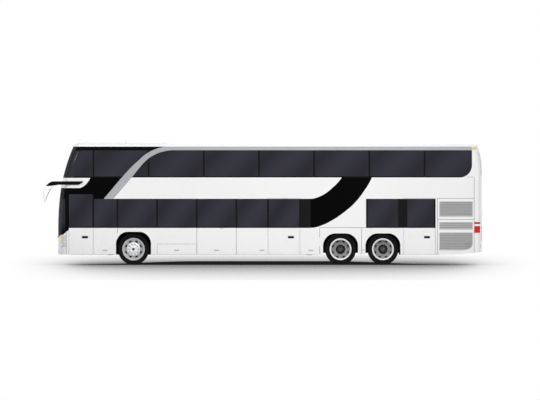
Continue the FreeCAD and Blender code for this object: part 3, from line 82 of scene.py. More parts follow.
# Shapes: each is a pair of arrays, its points and its quads
def shaped(name, shape):
    """A new mesh object of a shape."""
    mesh = bpy.data.meshes.new(name)
    mesh.from_pydata(shape[0].tolist(), [], shape[1].tolist())
    return linked(name, mesh)


def put(name, shape, finish, body="coach_body", sharp=None, smooth=True):
    """Make a mesh object of a shape, with its finish, slot and body; sharp is in degrees."""
    piece = shaped(name, shape)
    mesh = piece.data
    mesh.validate()
    mesh.update()
    mesh.polygons.foreach_set("use_smooth", np.full(len(mesh.polygons), smooth))
    mesh.materials.append(bpy.data.materials[finish])
    if sharp is not None:
        mesh.set_sharp_from_angle(angle=math.radians(sharp))
    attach(piece, body)
    return piece


def points(x, y, z):
    """Points from coordinates that are arrays or single numbers."""
    return np.stack(np.broadcast_arrays(x, y, z), -1)


def full_turn(steps):
    """Even angles all round."""
    return np.arange(steps) * 2 * math.pi / steps


def grid_faces(rows, columns, wrap_rows=False, wrap_columns=False):
    """Quads between neighbours on a grid of points that is stored row by row."""
    r = np.arange(rows if wrap_rows else rows - 1)
    c = np.arange(columns if wrap_columns else columns - 1)
    r, c = np.meshgrid(r, c, indexing="ij")
    r1 = (r + 1) % rows
    c1 = (c + 1) % columns
    quads = [r * columns + c, r1 * columns + c, r1 * columns + c1, r * columns + c1]
    return np.stack(quads, -1).reshape(-1, 4)


def cap(count, offset):
    """Close a ring of an even number of points with a strip of quads across it."""
    k = np.arange(count // 2 - 1)
    return np.stack([k, k + 1, count - 2 - k, count - 1 - k], -1) + offset


def capped(verts, rows, steps):
    """A tube of rings of points, closed at both ends."""
    return verts.reshape(-1, 3), np.concatenate([
        grid_faces(rows, steps, False, True), cap(steps, 0),
        cap(steps, (rows - 1) * steps)[:, ::-1]])


def joined(*shapes):
    """Put several shapes into one."""
    starts = np.cumsum([0] + [len(verts) for verts, _ in shapes])
    return (np.concatenate([verts for verts, _ in shapes]),
            np.concatenate([faces + start for (_, faces), start in zip(shapes, starts)]))


def copies(shape, places):
    """Repeat a shape at each place (a 3 x 4 matrix of turn and shift)."""
    verts, faces = shape
    spread = np.einsum("nij,vj->nvi", places[:, :, :3], verts) + places[:, None, :, 3]
    shift = np.arange(len(places))[:, None, None] * len(verts)
    return spread.reshape(-1, 3), (faces[None] + shift).reshape(-1, 4)


def flipped(shape):
    """A shape whose faces look the other way."""
    return shape[0], shape[1][:, ::-1]


def moved(shape, x=0.0, y=0.0, z=0.0, scale=(1, 1, 1)):
    """Shift a shape after stretching it; a mirrored one keeps its faces outwards."""
    verts, faces = shape
    verts = verts * np.array(scale) + np.array([x, y, z])
    return verts, faces[:, ::-1] if np.prod(scale) < 0 else faces


def both_sides(shape):
    """A shape and its mirror image across the middle of the coach."""
    return joined(shape, moved(shape, scale=(1, -1, 1)))


def turned(shape, axis, angle):
    """Turn a shape about an axis of the frame through the origin."""
    c, s = math.cos(angle), math.sin(angle)
    a, b = {"x": (1, 2), "y": (2, 0), "z": (0, 1)}[axis]
    out = shape[0].copy()
    out[:, a] = c * shape[0][:, a] - s * shape[0][:, b]
    out[:, b] = s * shape[0][:, a] + c * shape[0][:, b]
    return out, shape[1]


def lathe(profile, steps=48, wave=None):
    """Turn a closed profile of (radius, y) about the Y axis: x = r cos a, z = r sin a.

    wave(angle, row) may add to the radius, for a tread or for flats.
    """
    profile = np.asarray(profile, float)
    angle = full_turn(steps)[:, None]
    radius = np.tile(profile[:, 0], (steps, 1))
    if wave:
        radius += wave(angle, np.arange(len(profile))[None, :])
    verts = points(radius * np.cos(angle), profile[:, 1], radius * np.sin(angle))
    return verts.reshape(-1, 3), grid_faces(steps, len(profile), True, True)


def rounded_block(size, edge, steps=3):
    """A box with round edges: a sphere grid whose points are pushed out to the inner corners.

    With u round the block and v over it, p = edge * (cos v cos u, cos v sin u, sin v) plus the
    sign of each coordinate times (half size - edge).
    """
    half = np.array(size) / 2
    edge = min(edge, half.min() * 0.999)
    inner = half - edge
    count = steps + 1
    quarter = np.linspace(0, math.pi / 2, count)
    u = np.concatenate([quarter + k * math.pi / 2 for k in range(4)])
    v = np.concatenate([quarter - math.pi / 2, quarter])
    uu, vv = np.meshgrid(u, v, indexing="ij")
    verts = points(
        edge * np.cos(vv) * np.cos(uu) + np.repeat((1, -1, -1, 1), count)[:, None] * inner[0],
        edge * np.cos(vv) * np.sin(uu) + np.repeat((1, 1, -1, -1), count)[:, None] * inner[1],
        edge * np.sin(vv) + np.repeat((-1, 1), count) * inner[2])
    foot = (np.arange(1, 5) * count - 1) * len(v)
    caps = np.stack([foot[::-1], foot + len(v) - 1])
    return verts.reshape(-1, 3), np.concatenate([grid_faces(len(u), len(v), True, False), caps])


def swept(path, profile, closed=False):
    """Carry a closed profile of (across, up) along a path of points.

    At each point the profile stands square to the path: across is the path's direction crossed
    with the vertical (or with Y where it runs upright), and up completes the three.
    """
    ahead = np.roll(path, -1, 0) - np.roll(path, 1, 0) if closed else np.gradient(path, axis=0)
    ahead /= np.linalg.norm(ahead, axis=1)[:, None]
    up = np.where(np.abs(ahead[:, 2:]) > 0.9, [[0.0, 1.0, 0.0]], [[0.0, 0.0, 1.0]])
    across = np.cross(ahead, up)
    across /= np.linalg.norm(across, axis=1)[:, None]
    rise = np.cross(across, ahead)
    verts = (path[:, None] + profile[None, :, :1] * across[:, None]
             + profile[None, :, 1:] * rise[:, None])
    if closed:
        return verts.reshape(-1, 3), grid_faces(len(path), len(profile), True, True)
    return capped(verts, len(path), len(profile))


def round_profile(radius, steps=12):
    """The points of a circle in (across, up)."""
    a = full_turn(steps)
    return np.stack([radius * np.cos(a), radius * np.sin(a)], -1)


def rounded_outline(width, height, radius, steps=4):
    """The points of a rectangle with round corners, centred on the origin."""
    radius = min(radius, width / 2, height / 2) * 0.999
    quarter = np.linspace(0, math.pi / 2, steps + 1)
    corners = []
    for k, (sx, sy) in enumerate(((1, 1), (-1, 1), (-1, -1), (1, -1))):
        turn = quarter + k * math.pi / 2
        corners.append(np.stack([sx * (width / 2 - radius) + radius * np.cos(turn),
                                 sy * (height / 2 - radius) + radius * np.sin(turn)], -1))
    return np.concatenate(corners)


def plate(outline, thick, bevel=0.0):
    """A flat plate facing -Y from an outline of (x, z), with a small chamfer at its front edge."""
    centre = outline.mean(0)
    size = np.linalg.norm(outline - centre, axis=1)[:, None]
    front = centre + (outline - centre) * (1 - bevel / size)
    rings = [points(ring[:, 0], y, ring[:, 1]) for ring, y in (
        (outline, 0.0), (outline, bevel - thick), (front, -thick))]
    return flipped(capped(np.stack(rings), 3, len(outline)))


def station(metres):
    """The x of a distance behind the body's foremost point."""
    return NOSE + metres


# Shader nodes: every helper works in the tree that its sockets belong to
def feed(node, **values):
    """Link or set a node's inputs by name, with _ for each space, and give the node."""
    for label, value in values.items():
        socket = node.inputs[label.replace("_", " ")]
        if isinstance(value, bpy.types.NodeSocket):
            node.id_data.links.new(value, socket)
        else:
            socket.default_value = value
    return node


def add(tree, kind, **values):
    """Add a shader node and feed it."""
    return feed(tree.nodes.new("ShaderNode" + kind), **values)


def maths(kind, *values, clamp=False):
    """Add a Math node whose inputs are sockets or numbers, and give its output."""
    tree = next(v for v in values if isinstance(v, bpy.types.NodeSocket)).id_data
    node = tree.nodes.new("ShaderNodeMath")
    node.operation = kind
    node.use_clamp = clamp
    for socket, value in zip(node.inputs, values):
        if isinstance(value, bpy.types.NodeSocket):
            tree.links.new(value, socket)
        else:
            socket.default_value = value
    return node.outputs[0]


def in_turn(kind):
    """A function that folds any number of sockets and numbers with one Math node after another."""
    return lambda *values: functools.reduce(functools.partial(maths, kind), values)


times, plus, minus = in_turn("MULTIPLY"), in_turn("ADD"), in_turn("SUBTRACT")
most, least = in_turn("MAXIMUM"), in_turn("MINIMUM")
less, more = functools.partial(maths, "LESS_THAN"), functools.partial(maths, "GREATER_THAN")
size_of = functools.partial(maths, "ABSOLUTE")


def within(value, low, high):
    """1 where value lies between two bounds, else 0."""
    return times(more(value, low), less(value, high))


def curve(value, rows, low, high, out_low, out_high):
    """Read a curve through (in, out) rows, both given in metres over the two ranges."""
    node = value.id_data.nodes.new("ShaderNodeFloatCurve")
    line = node.mapping.curves[0]
    spots = [((a - low) / (high - low), (b - out_low) / (out_high - out_low)) for a, b in rows]
    line.points[0].location = spots[0]
    line.points[1].location = spots[-1]
    for spot in spots[1:-1]:
        line.points.new(*spot)
    for point in line.points:
        point.handle_type = "AUTO"
    node.mapping.update()
    feed(node, Value=maths("DIVIDE", minus(value, low), high - low))
    return maths("MULTIPLY_ADD", node.outputs[0], out_high - out_low, out_low)


def body_axes(place):
    """The distance behind the nose, the distance from the middle line, and the height."""
    x, y, z = add(place.id_data, "SeparateXYZ", Vector=place).outputs
    return minus(x, NOSE), size_of(y), z


def noise(place, **values):
    """A noise texture's value at a place."""
    return add(place.id_data, "TexNoise", Vector=place, **values).outputs[0]


def ripples(place, axis, scale):
    """A wave texture's value, in bands square to an axis."""
    node = add(place.id_data, "TexWave", Vector=place, Scale=scale)
    node.bands_direction = axis
    return node.outputs["Fac"]


# The livery's outlines as (height, distance behind the nose) or the other way round, in metres
STRIPE_FRONT = [(2.152, 1.488), (2.50, 1.78), (2.861, 2.086), (3.211, 2.407), (3.384, 2.596),
                (3.604, 2.845), (3.777, 3.159), (3.852, 3.440)]
STRIPE_REAR = [(2.152, 1.799), (2.50, 2.10), (2.861, 2.407), (3.211, 2.688), (3.384, 2.845),
               (3.604, 3.159), (3.711, 3.473), (3.750, 3.784)]
FLASH_EDGE = [(2.511, 0.719), (2.600, 0.870), (2.708, 0.968), (2.841, 1.050)]
SWEEP_TOP = [(8.257, 2.155), (8.453, 2.197), (8.718, 2.322), (8.983, 2.534), (9.162, 2.711),
             (9.277, 2.861), (9.30, 2.90)]
SWEEP_FOOT = [(8.257, 1.210), (8.397, 1.220), (8.629, 1.292), (8.983, 1.468), (9.339, 1.710),
              (9.692, 2.018), (10.049, 2.479), (10.252, 2.842), (10.26, 2.87)]
# Black round both glass bands: low, high, first station, last station
GLASS_BANDS = [(1.205, 2.158, 0.300, 8.258), (1.205, 2.158, 10.065, 12.328),
               (2.855, 3.760, 0.0, 13.1), (3.250, 3.760, 0.0, 13.5)]
ROOF_LINE = 3.865


def livery(place):
    """Masks of the black and silver fields, from the height and the distance behind the nose."""
    back, _, height = body_axes(place)
    front, rear = [curve(height, rows, 2.0, 4.0, 1.0, 4.0) for rows in (STRIPE_FRONT, STRIPE_REAR)]
    top, foot = [curve(back, rows, 8.0, 11.0, 1.0, 3.0) for rows in (SWEEP_TOP, SWEEP_FOOT)]
    flash = curve(height, FLASH_EDGE, 2.4, 3.0, 0.5, 1.5)
    slope = times(less(back, rear), within(height, 2.155, ROOF_LINE))
    line = times(within(height, 3.747, ROOF_LINE), less(back, 13.531))
    silver = times(more(back, front), most(slope, line))
    # Black ahead of the stripe: over the door, round the flash, and up to the roof line
    ahead = times(less(back, front), most(
        times(within(height, 2.155, 2.511), more(back, 0.300)),
        times(within(height, 2.511, 2.841), more(back, flash)),
        within(height, 2.841, ROOF_LINE)))
    bands = [times(within(height, low, high), within(back, first, last))
             for low, high, first, last in GLASS_BANDS]
    sweep = times(more(height, foot), less(height, 2.86), within(back, 8.25, 10.255),
                  most(less(height, top), more(back, 9.275)))
    return times(most(ahead, sweep, *bands), minus(1.0, silver)), silver


# The roof hatches' middles and the roof panels' joints, as stations behind the nose
HATCHES = [3.6, 10.4]
ROOF_SEAMS = [2.2, 4.9, 7.6, 9.2, 12.0]
PANE_ENDS = [1.154, 2.958, 4.762, 6.566, 8.370, 10.174, 11.978]
LOW_PANE_ENDS = [1.148, 1.939, 3.235, 4.531, 5.827, 6.860, 7.907]
# Opaque stretches of the lower glass band: behind the middle door, and between the rear panes
BLIND_SPANS = [(7.930, 8.262), (10.060, 10.120), (11.110, 11.415), (12.280, 12.345)]
FRIT = 0.028
LOW_BAND_TOP = 2.2


def frit(place):
    """The fired black border of the bonded panes: near each joint and along each pane's foot."""
    back, _, height = body_axes(place)
    parts = [times(within(back, *span), less(height, LOW_BAND_TOP)) for span in BLIND_SPANS]
    for ends, low, high in ((PANE_ENDS, 2.8, 3.9), (LOW_PANE_ENDS, 1.15, LOW_BAND_TOP)):
        near = least(*[size_of(minus(back, end)) for end in ends])
        parts += [times(less(near, FRIT), within(height, low, high)),
                  within(height, low, low + 0.095)]
    return [most(*parts)]


def sheen(place):
    """A soft diagonal band in each side pane: 1 on the band's middle line, 0 at the joints."""
    back, _, height = body_axes(place)
    waves = []
    for first, pitch, middle, level in ((1.154, 1.804, 3.30, more), (1.939, 1.296, 1.68, less)):
        run = maths("DIVIDE", minus(back, first), pitch)
        part = maths("FRACT", plus(run, times(minus(height, middle), -0.55)))
        wave = maths("POWER", size_of(maths("SINE", times(part, math.pi))), 1.6)
        waves.append(times(wave, level(height, 2.5)))
    return [most(*waves)]


def screen_edge(place):
    """The printed black edge of both windscreens and the rear window, as wide as their flange.

    Where the windscreens wrap on to the body's sides, past that edge, they are tinted again.
    """
    back, across, height = body_axes(place)
    ahead = less(back, -NOSE)
    behind = minus(1.0, ahead)
    seen = most(*[times(side, within(height, low, high), less(across, half))
                  for side, half, low, high in ((ahead, 1.125, 1.018, 2.165),
                                                (ahead, 1.125, 2.930, 3.685),
                                                (behind, 1.030, 2.940, 3.640))])
    upper = times(more(across, 1.165), within(height, 2.860, 3.730))
    soft = maths("MULTIPLY_ADD", back, -1 / 0.040, 0.245 / 0.040, clamp=True)
    foot = maths("DIVIDE", minus(height, 1.100), 0.30, clamp=True)
    lower = times(soft, foot, less(height, 2.165))
    return minus(1.0, seen), times(most(upper, lower), ahead)


def roof_joints(place):
    """Sealed joints of the roof: two outlines round each hatch, and a seam between panels."""
    back, across, height = body_axes(place)
    lines = [times(less(size_of(minus(back, seam)), 0.004), less(across, 1.16))
             for seam in ROOF_SEAMS]
    for hatch in HATCHES:
        inset = most(minus(size_of(minus(back, hatch)), 0.45), minus(across, 0.31))
        lines += [within(inset, -0.016, 0.0), within(inset, -0.050, -0.042)]
    return [times(most(*lines), more(height, 3.88))]


def dust(place, amount, reach):
    """Road dust that thins out upwards from the skirt, broken up by two sizes of noise."""
    fade = maths("SUBTRACT", 1.0, maths("DIVIDE", body_axes(place)[2], reach), clamp=True)
    cloud = times(fade, noise(place, Scale=6.0, Detail=5.0))
    return [maths("MULTIPLY", cloud, amount, clamp=True)]


def grain(place, scale, roughness):
    """A fine moulded grain: a bump height from small noise, and a slow variation of roughness."""
    drift = maths("MULTIPLY_ADD", noise(place, Scale=5.0), 0.12, -0.06)
    return noise(place, Scale=scale, Detail=2.0), plus(roughness, drift)


# Shared groups: what works them out, their outputs, and their inputs' defaults besides the place
GROUPS = {
    "Livery": (livery, ("Black", "Silver"), {}),
    "Frit": (frit, ("Mask",), {}),
    "Pane sheen": (sheen, ("Mask",), {}),
    "Screen edge": (screen_edge, ("Printed", "Wrapped"), {}),
    "Roof joints": (roof_joints, ("Mask",), {}),
    "Road dust": (dust, ("Mask",), {"Amount": 0.2, "Reach": 0.5}),
    "Moulded grain": (grain, ("Height", "Roughness"), {"Scale": 900.0, "Roughness": 0.6}),
}


def make_group(name):
    """Build one shared node group."""
    work, outputs, inputs = GROUPS[name]
    tree = bpy.data.node_groups.new(name, "ShaderNodeTree")
    new = tree.interface.new_socket
    new("Place", in_out="INPUT", socket_type="NodeSocketVector")
    for label, default in inputs.items():
        new(label, in_out="INPUT", socket_type="NodeSocketFloat").default_value = default
    for label in outputs:
        new(label, in_out="OUTPUT", socket_type="NodeSocketFloat")
    start = tree.nodes.new("NodeGroupInput")
    end = tree.nodes.new("NodeGroupOutput")
    feed(end, **dict(zip(outputs, work(*start.outputs[:len(inputs) + 1]))))


def shared(name, place, **values):
    """Place a shared group in a material, fed by its coordinates and its own values."""
    node = place.id_data.nodes.new("ShaderNodeGroup")
    node.node_tree = bpy.data.node_groups[name]
    return feed(node, Place=place, **values).outputs[:]


# Finishes
def material(name):
    """Start a node material: gives its shader and its object coordinates."""
    finish = bpy.data.materials.new(name)
    finish.use_nodes = True
    tree = finish.node_tree
    return tree.nodes["Principled BSDF"], add(tree, "TexCoord").outputs["Object"]


def mixed(mask, first, second):
    """Mix two colours (sockets or values) by a mask."""
    node = mask.id_data.nodes.new("ShaderNodeMix")
    node.data_type = "RGBA"
    a, b = [c if isinstance(c, bpy.types.NodeSocket) else (*c[:3], 1.0) for c in (first, second)]
    return feed(node, Factor=mask, A=a, B=b).outputs["Result"]


def bumped(shader, height, strength, distance):
    """Turn a height into a normal on a shader."""
    bump = add(shader.id_data, "Bump", Strength=strength, Distance=distance, Height=height)
    feed(shader, Normal=bump.outputs[0])


def paint(name, colours):
    """Glossy coach enamel with the livery's fields, road dust at the skirt and a faint ripple."""
    shader, place = material(name)
    black, silver = shared("Livery", place)
    [joints] = shared("Roof joints", place)
    [dusty] = shared("Road dust", place, Amount=0.12, Reach=0.75)
    base = mixed(black, colours.enamel, colours.livery_black)
    base = mixed(silver, base, colours.stripe)
    base = mixed(joints, base, (0.05, 0.05, 0.055))
    base = mixed(dusty, base, (0.42, 0.40, 0.36))
    feed(shader, Base_Color=base, Roughness=0.35, Specular_IOR_Level=0.01, Coat_Roughness=0.05,
         Coat_Weight=maths("MULTIPLY_ADD", black, -0.46, 0.5))
    bumped(shader, noise(place, Scale=2.2), 0.12, 0.006)


def tinted(name, tint, alpha, side=False, gloss=None):
    """Tinted safety glass: see-through by alpha, with its fired border and any stripe opaque.

    Each pane carries a faint diagonal band of lighter tint. Side panes have the frit and the
    livery's stripe, and screens their printed edge.
    """
    shader, place = material(name)
    [band] = shared("Pane sheen", place)
    # Painted reflection: the tint is lightened 1.9 times along each pane's diagonal band
    base = mixed(band, tint, [1.9 * c for c in tint[:3]])
    if side:
        [edge] = shared("Frit", place)
        silver = shared("Livery", place)[1]
        base = mixed(edge, base, (0.0008, 0.0008, 0.0010))
        base = mixed(silver, base, (0.40, 0.41, 0.43))
        solid = most(edge, silver)
    else:
        solid, wrapped = shared("Screen edge", place)
        base = mixed(solid, base, (0.0015, 0.0015, 0.0018))
        # Painted reflection: a lighter blue-grey where the screens wrap on to the body's sides
        base = mixed(wrapped, base, (0.030, 0.0295, 0.040))
    feed(shader, Base_Color=base, Roughness=0.03, IOR=1.25,
         Alpha=maths("MULTIPLY_ADD", solid, 1 - alpha, alpha))
    if gloss:
        feed(shader, Specular_IOR_Level=0.0, Coat_Weight=gloss)


def moulded(name, colour, roughness=0.55, scale=900.0, dust=0.0, reach=1.2, metallic=0.0,
            bump=0.25, gloss=0.5):
    """Grained plastic, rubber, cast or painted metal with a little dust low down."""
    shader, place = material(name)
    height, rough = shared("Moulded grain", place, Scale=scale, Roughness=roughness)
    [dusty] = shared("Road dust", place, Amount=dust, Reach=reach)
    feed(shader, Base_Color=mixed(dusty, colour, (0.36, 0.34, 0.31)), Roughness=rough,
         Metallic=metallic, Specular_IOR_Level=gloss)
    bumped(shader, height, bump, 0.0006)


def glowing(shader, base, glow, roughness, coat):
    """A lamp lens: its colour shines faintly through a smooth clear face."""
    feed(shader, Base_Color=base, Emission_Color=base, Emission_Strength=glow,
         Roughness=roughness, Specular_IOR_Level=0.1, Coat_Weight=coat)


def lens(name, colour, glow, bands=()):
    """A ribbed lamp lens with a faint glow; bands are (low, high, colour) in height."""
    shader, place = material(name)
    wave = ripples(place, "Z", 22.0)
    base = mixed(times(wave, 0.5), colour, [min(1.0, c * 1.25 + 0.01) for c in colour])
    height = body_axes(place)[2]
    for low, high, other in bands:
        base = mixed(within(height, low, high), base, other)
    glowing(shader, base, glow, 0.08, 0.25)
    bumped(shader, wave, 0.25, 0.0015)


def head_lens(name):
    """Front lamp lenses: round bright reflectors in a grey bowl below, an amber turn lamp above."""
    shader, place = material(name)
    back, across, height = body_axes(place)
    rise = minus(height, 0.659)
    rings = []
    for middle in (0.865, 1.020, 1.170):
        reach = minus(across, middle)
        rings.append(maths("SQRT", plus(times(reach, reach), times(rise, rise))))
    ring = least(*rings)
    # Painted reflection: each round reflector is a bright disc in the grey bowl
    base = mixed(less(ring, 0.060), (0.50, 0.51, 0.53), (0.86, 0.87, 0.90))
    base = mixed(within(ring, 0.056, 0.064), base, (0.10, 0.10, 0.11))
    base = mixed(less(ring, 0.020), base, (0.25, 0.26, 0.28))
    base = mixed(more(height, 0.752), base, (0.82, 0.58, 0.33))
    base = mixed(more(back, 0.160), base, (0.62, 0.62, 0.63))
    glowing(shader, base, 0.08, 0.06, 0.1)
    bumped(shader, ripples(place, "Y", 14.0), 0.15, 0.001)


def cloth(name, colour, second):
    """Woven moquette: two yarn colours in a small check, with a soft sheen."""
    shader, place = material(name)
    weave = add(place.id_data, "TexChecker", Vector=place, Scale=46.0, Color1=(*colour, 1),
                Color2=(*second, 1))
    feed(shader, Base_Color=weave.outputs["Color"], Roughness=0.9, Sheen_Weight=0.4)
    bumped(shader, noise(place, Scale=700.0), 0.5, 0.001)


FINISH_OF = {
    "enamel": ["front_panel", "rear_panel", "roof", "side_wall_left", "side_wall_right",
               "front_door", "mid_door", "rear_door", "flap_left_front", "flap_left_rear",
               "flap_right_front", "flap_right_rear", "engine_lid"],
    "side glass": ["side_windows_left", "side_windows_right", "front_door_glass",
                   "mid_door_glass", "rear_door_glass"],
    "screen glass": ["windscreens"],
    "rear glass": ["rear_window"],
    "clear lens": ["front_lamps"],
    "red lens": ["tail_lamps"],
    "grille paint": ["side_grilles"],
    "liner plastic": ["wheel_arches"],
    "chassis paint": ["underframe", "front_axle", "drive_axle", "tag_axle", "knuckle_left",
                      "knuckle_right", "track_rod"],
    "floor vinyl": ["lower_floor", "upper_floor"],
    "engine paint": ["engine"],
    "moquette": ["seats_lower", "seats_upper"],
    "stair vinyl": ["stairs"],
    "dash plastic": ["dashboard"],
    "mirror shell": ["mirrors"],
    "wiper black": ["wipers"],
    "tyre rubber": ["tyre_" + w for w in WHEELS],
    "wheel paint": ["rim_" + w for w in WHEELS],
}


def make_finishes(colours):
    """Build the shared groups, then every material, and give the CAD nodes theirs."""
    for name in GROUPS:
        make_group(name)
    paint("enamel", colours)
    tinted("side glass", colours.side_glass, 0.97, side=True)
    tinted("screen glass", (0.004, 0.005, 0.007), 0.74, gloss=0.08)
    tinted("rear glass", (0.008, 0.0085, 0.012), 0.92)
    head_lens("clear lens")
    lens("amber lens", (0.68, 0.50, 0.28), 0.08)
    lens("red lens", (0.55, 0.010, 0.006), 0.10,
         ((1.269, 1.334, (0.80, 0.80, 0.80)), (1.334, 1.400, (0.36, 0.010, 0.016))))
    moulded("grille paint", (0.45, 0.45, 0.45), 0.5, dust=0.1, gloss=0.2)
    moulded("grille mesh", (0.46, 0.46, 0.46), 0.6, 220.0, 0.1, bump=0.6, gloss=0.1)
    moulded("liner plastic", (0.004, 0.004, 0.0045), 0.85, 500.0, 0.06, gloss=0.1)
    moulded("chassis paint", (0.012, 0.012, 0.014), 0.6, 300.0, 0.2, gloss=0.2)
    moulded("floor vinyl", (0.07, 0.07, 0.075), 0.65, 1200.0)
    moulded("engine paint", (0.10, 0.11, 0.12), 0.5, 200.0, 0.4)
    moulded("stair vinyl", (0.06, 0.06, 0.065), 0.6, 1000.0)
    moulded("dash plastic", (0.03, 0.03, 0.032), 0.6, 1100.0)
    moulded("dial face", (0.008, 0.010, 0.014), 0.25, 1100.0, bump=0.05)
    moulded("mirror shell", (0.0015, 0.0015, 0.002), 0.5, 1100.0, gloss=0.05)
    moulded("pale shell", (0.92, 0.925, 0.93), 0.35, 1100.0, bump=0.05)
    moulded("wiper black", (0.01, 0.01, 0.011), 0.45)
    moulded("handle black", (0.002, 0.002, 0.0025), 0.4, gloss=0.06)
    moulded("seal rubber", (0.003, 0.003, 0.0035), 0.7, dust=0.05, gloss=0.1)
    moulded("tyre rubber", (0.0035, 0.0035, 0.004), 0.85, 400.0, 0.03, reach=1.5, gloss=0.08)
    moulded("wheel paint", (0.36, 0.365, 0.375), 0.42, 200.0, 0.15, metallic=0.2, bump=0.1)
    moulded("wheel dark", (0.27, 0.27, 0.275), 0.5, 200.0, 0.1, metallic=0.1, bump=0.1, gloss=0.2)
    moulded("rim lip", (0.74, 0.75, 0.77), 0.35, 200.0, 0.1, metallic=0.3, bump=0.1)
    moulded("hub paint", (0.80, 0.80, 0.81), 0.35, 200.0, 0.1, metallic=0.1, bump=0.1)
    moulded("hub dark", (0.045, 0.045, 0.05), 0.5, 300.0, 0.05, metallic=0.2, bump=0.1)
    moulded("bright metal", (0.80, 0.81, 0.82), 0.25, 300.0, 0.1, metallic=0.8, bump=0.05)
    moulded("rail metal", (0.62, 0.62, 0.63), 0.35, 300.0, 0.1, metallic=0.5, bump=0.05)
    moulded("latch metal", (0.42, 0.42, 0.43), 0.4, 300.0, 0.1, metallic=0.3, bump=0.05)
    moulded("dark metal", (0.008, 0.008, 0.009), 0.5, 300.0, 0.05, metallic=0.2, bump=0.1,
            gloss=0.2)
    moulded("seam grey", (0.16, 0.16, 0.165), 0.6, 500.0, bump=0.0)
    moulded("plate white", (0.70, 0.70, 0.68), 0.4, 500.0, bump=0.05)
    moulded("mirror glass", (0.65, 0.68, 0.72), 0.03, 10.0, metallic=1.0, bump=0.0)
    moulded("seat shell", (0.05, 0.052, 0.058), 0.5)
    cloth("moquette", (0.020, 0.035, 0.11), (0.035, 0.05, 0.13))
    cloth("driver cloth", (0.03, 0.03, 0.034), (0.045, 0.045, 0.05))
    for finish, names in FINISH_OF.items():
        for name in names:
            for slot in NODES[name].material_slots:
                slot.material = bpy.data.materials[finish]


# Running gear, in metres. The rims' radius is a share of the barrel's profile below: the
# photograph shows these two sizes.
FRONT_RIM = 0.978
REAR_RIM = 0.957
BEAD = 0.3725
TYRE_WIDTH = 0.295
TWIN_WIDTH = 0.4
GROOVE = 0.011
SHOULDER_CUT = 0.009


def tyre_shape(radius, bead, steps=180):
    """A road tyre: half-width profile rows from bead to bead, turned about the axle.

    The tread's radius drops by the groove depth in four narrow rows, and in every third step
    near the shoulders, so the ribs and shoulder blocks stand out.
    """
    half = TYRE_WIDTH / 2
    tread = 0.128
    side = [(bead, half - 0.045), (bead + 0.008, half - 0.030), (bead + 0.022, half - 0.022),
            (bead + 0.030, half - 0.009), (radius - 0.085, half), (radius - 0.060, half - 0.001),
            (radius - 0.057, half), (radius - 0.030, half - 0.006),
            (radius - 0.010, tread + 0.010), (radius - 0.003, tread)]
    for centre in (0.084, 0.028):
        side += [(radius, centre + 0.008), (radius - GROOVE, centre + 0.006),
                 (radius - GROOVE, centre - 0.006), (radius, centre - 0.008)]
    profile = side + [(r, -y) for r, y in side[::-1]] + [(bead, 0.07 - half), (bead, half - 0.07)]
    last = len(side) * 2 - 1
    shoulder = np.isin(np.arange(len(profile)), [7, 8, 9, last - 7, last - 8, last - 9])

    def wave(angle, row):
        step = np.round(angle * steps / (2 * math.pi)).astype(int)
        return np.where((step % 3 == 0) & shoulder[row], -SHOULDER_CUT, 0.0)

    return lathe(profile, steps, wave)


def wheel_place(name):
    """The CAD tyre's x, z and radius, the y of a tyre at each of its faces, and if it is twin."""
    low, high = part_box("tyre_" + name)
    ys = [low[1] + TYRE_WIDTH / 2, high[1] - TYRE_WIDTH / 2]
    return ((low[0] + high[0]) / 2, (low[2] + high[2]) / 2, (high[2] - low[2]) / 2, ys,
            high[1] - low[1] > TWIN_WIDTH)


def make_tyres(sizes):
    """Replace each CAD tyre by one with ribs, shoulder blocks and a moulded sidewall."""
    for name in WHEELS:
        x, z, radius, ys, twin = wheel_place(name)
        shape = tyre_shape(radius, BEAD * (FRONT_RIM if name.startswith("front") else REAR_RIM))
        shape = joined(*[moved(shape, x, y, z) for y in (ys if twin else [sum(ys) / 2])])
        piece = put("tread_" + name, shape, "tyre rubber", "wheel_" + name, 28)
        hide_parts("tyre_" + name)


def place_round(count, radius, phase=0.0):
    """Places (3 x 4) round the Y axis, each turned to face outwards."""
    c, s = np.cos(phase + full_turn(count)), np.sin(phase + full_turn(count))
    zero = np.zeros(count)
    return np.stack([np.stack(row, -1) for row in (
        (c, zero, -s, radius * c), (zero, zero + 1, zero, zero), (s, zero, c, radius * s))], 1)


def nut_shape(across, tall):
    """A six-sided nut with a round washer face and a domed end, pointing to -Y."""
    profile = [(0.0001, 0.0), (across * 0.75, 0.0), (across * 0.75, -0.003),
               (across * 0.58, -0.004), (across * 0.56, -tall * 0.85), (across * 0.40, -tall),
               (0.0001, -tall * 1.05)]

    def wave(angle, row):
        six = np.cos(np.mod(angle, math.pi / 3) - math.pi / 6)
        return np.where((row > 2) & (row < 5), across * 0.5 * (0.93 / six - 1.0), 0.0)

    return lathe(profile, 12, wave)


def nut_ring(across, tall, count, radius, y, phase=0.0):
    """Nuts in a ring about the axle."""
    return moved(copies(nut_shape(across, tall), place_round(count, radius, phase)), 0, y)


def capped_disc(radius, thick):
    """A thin round button with a rounded rim, facing -Y."""
    return lathe([(0.0001, thick), (radius, thick), (radius, -thick * 0.4),
                  (radius * 0.92, -thick), (0.0001, -thick)], 32)


ROW_STEP = 0.009


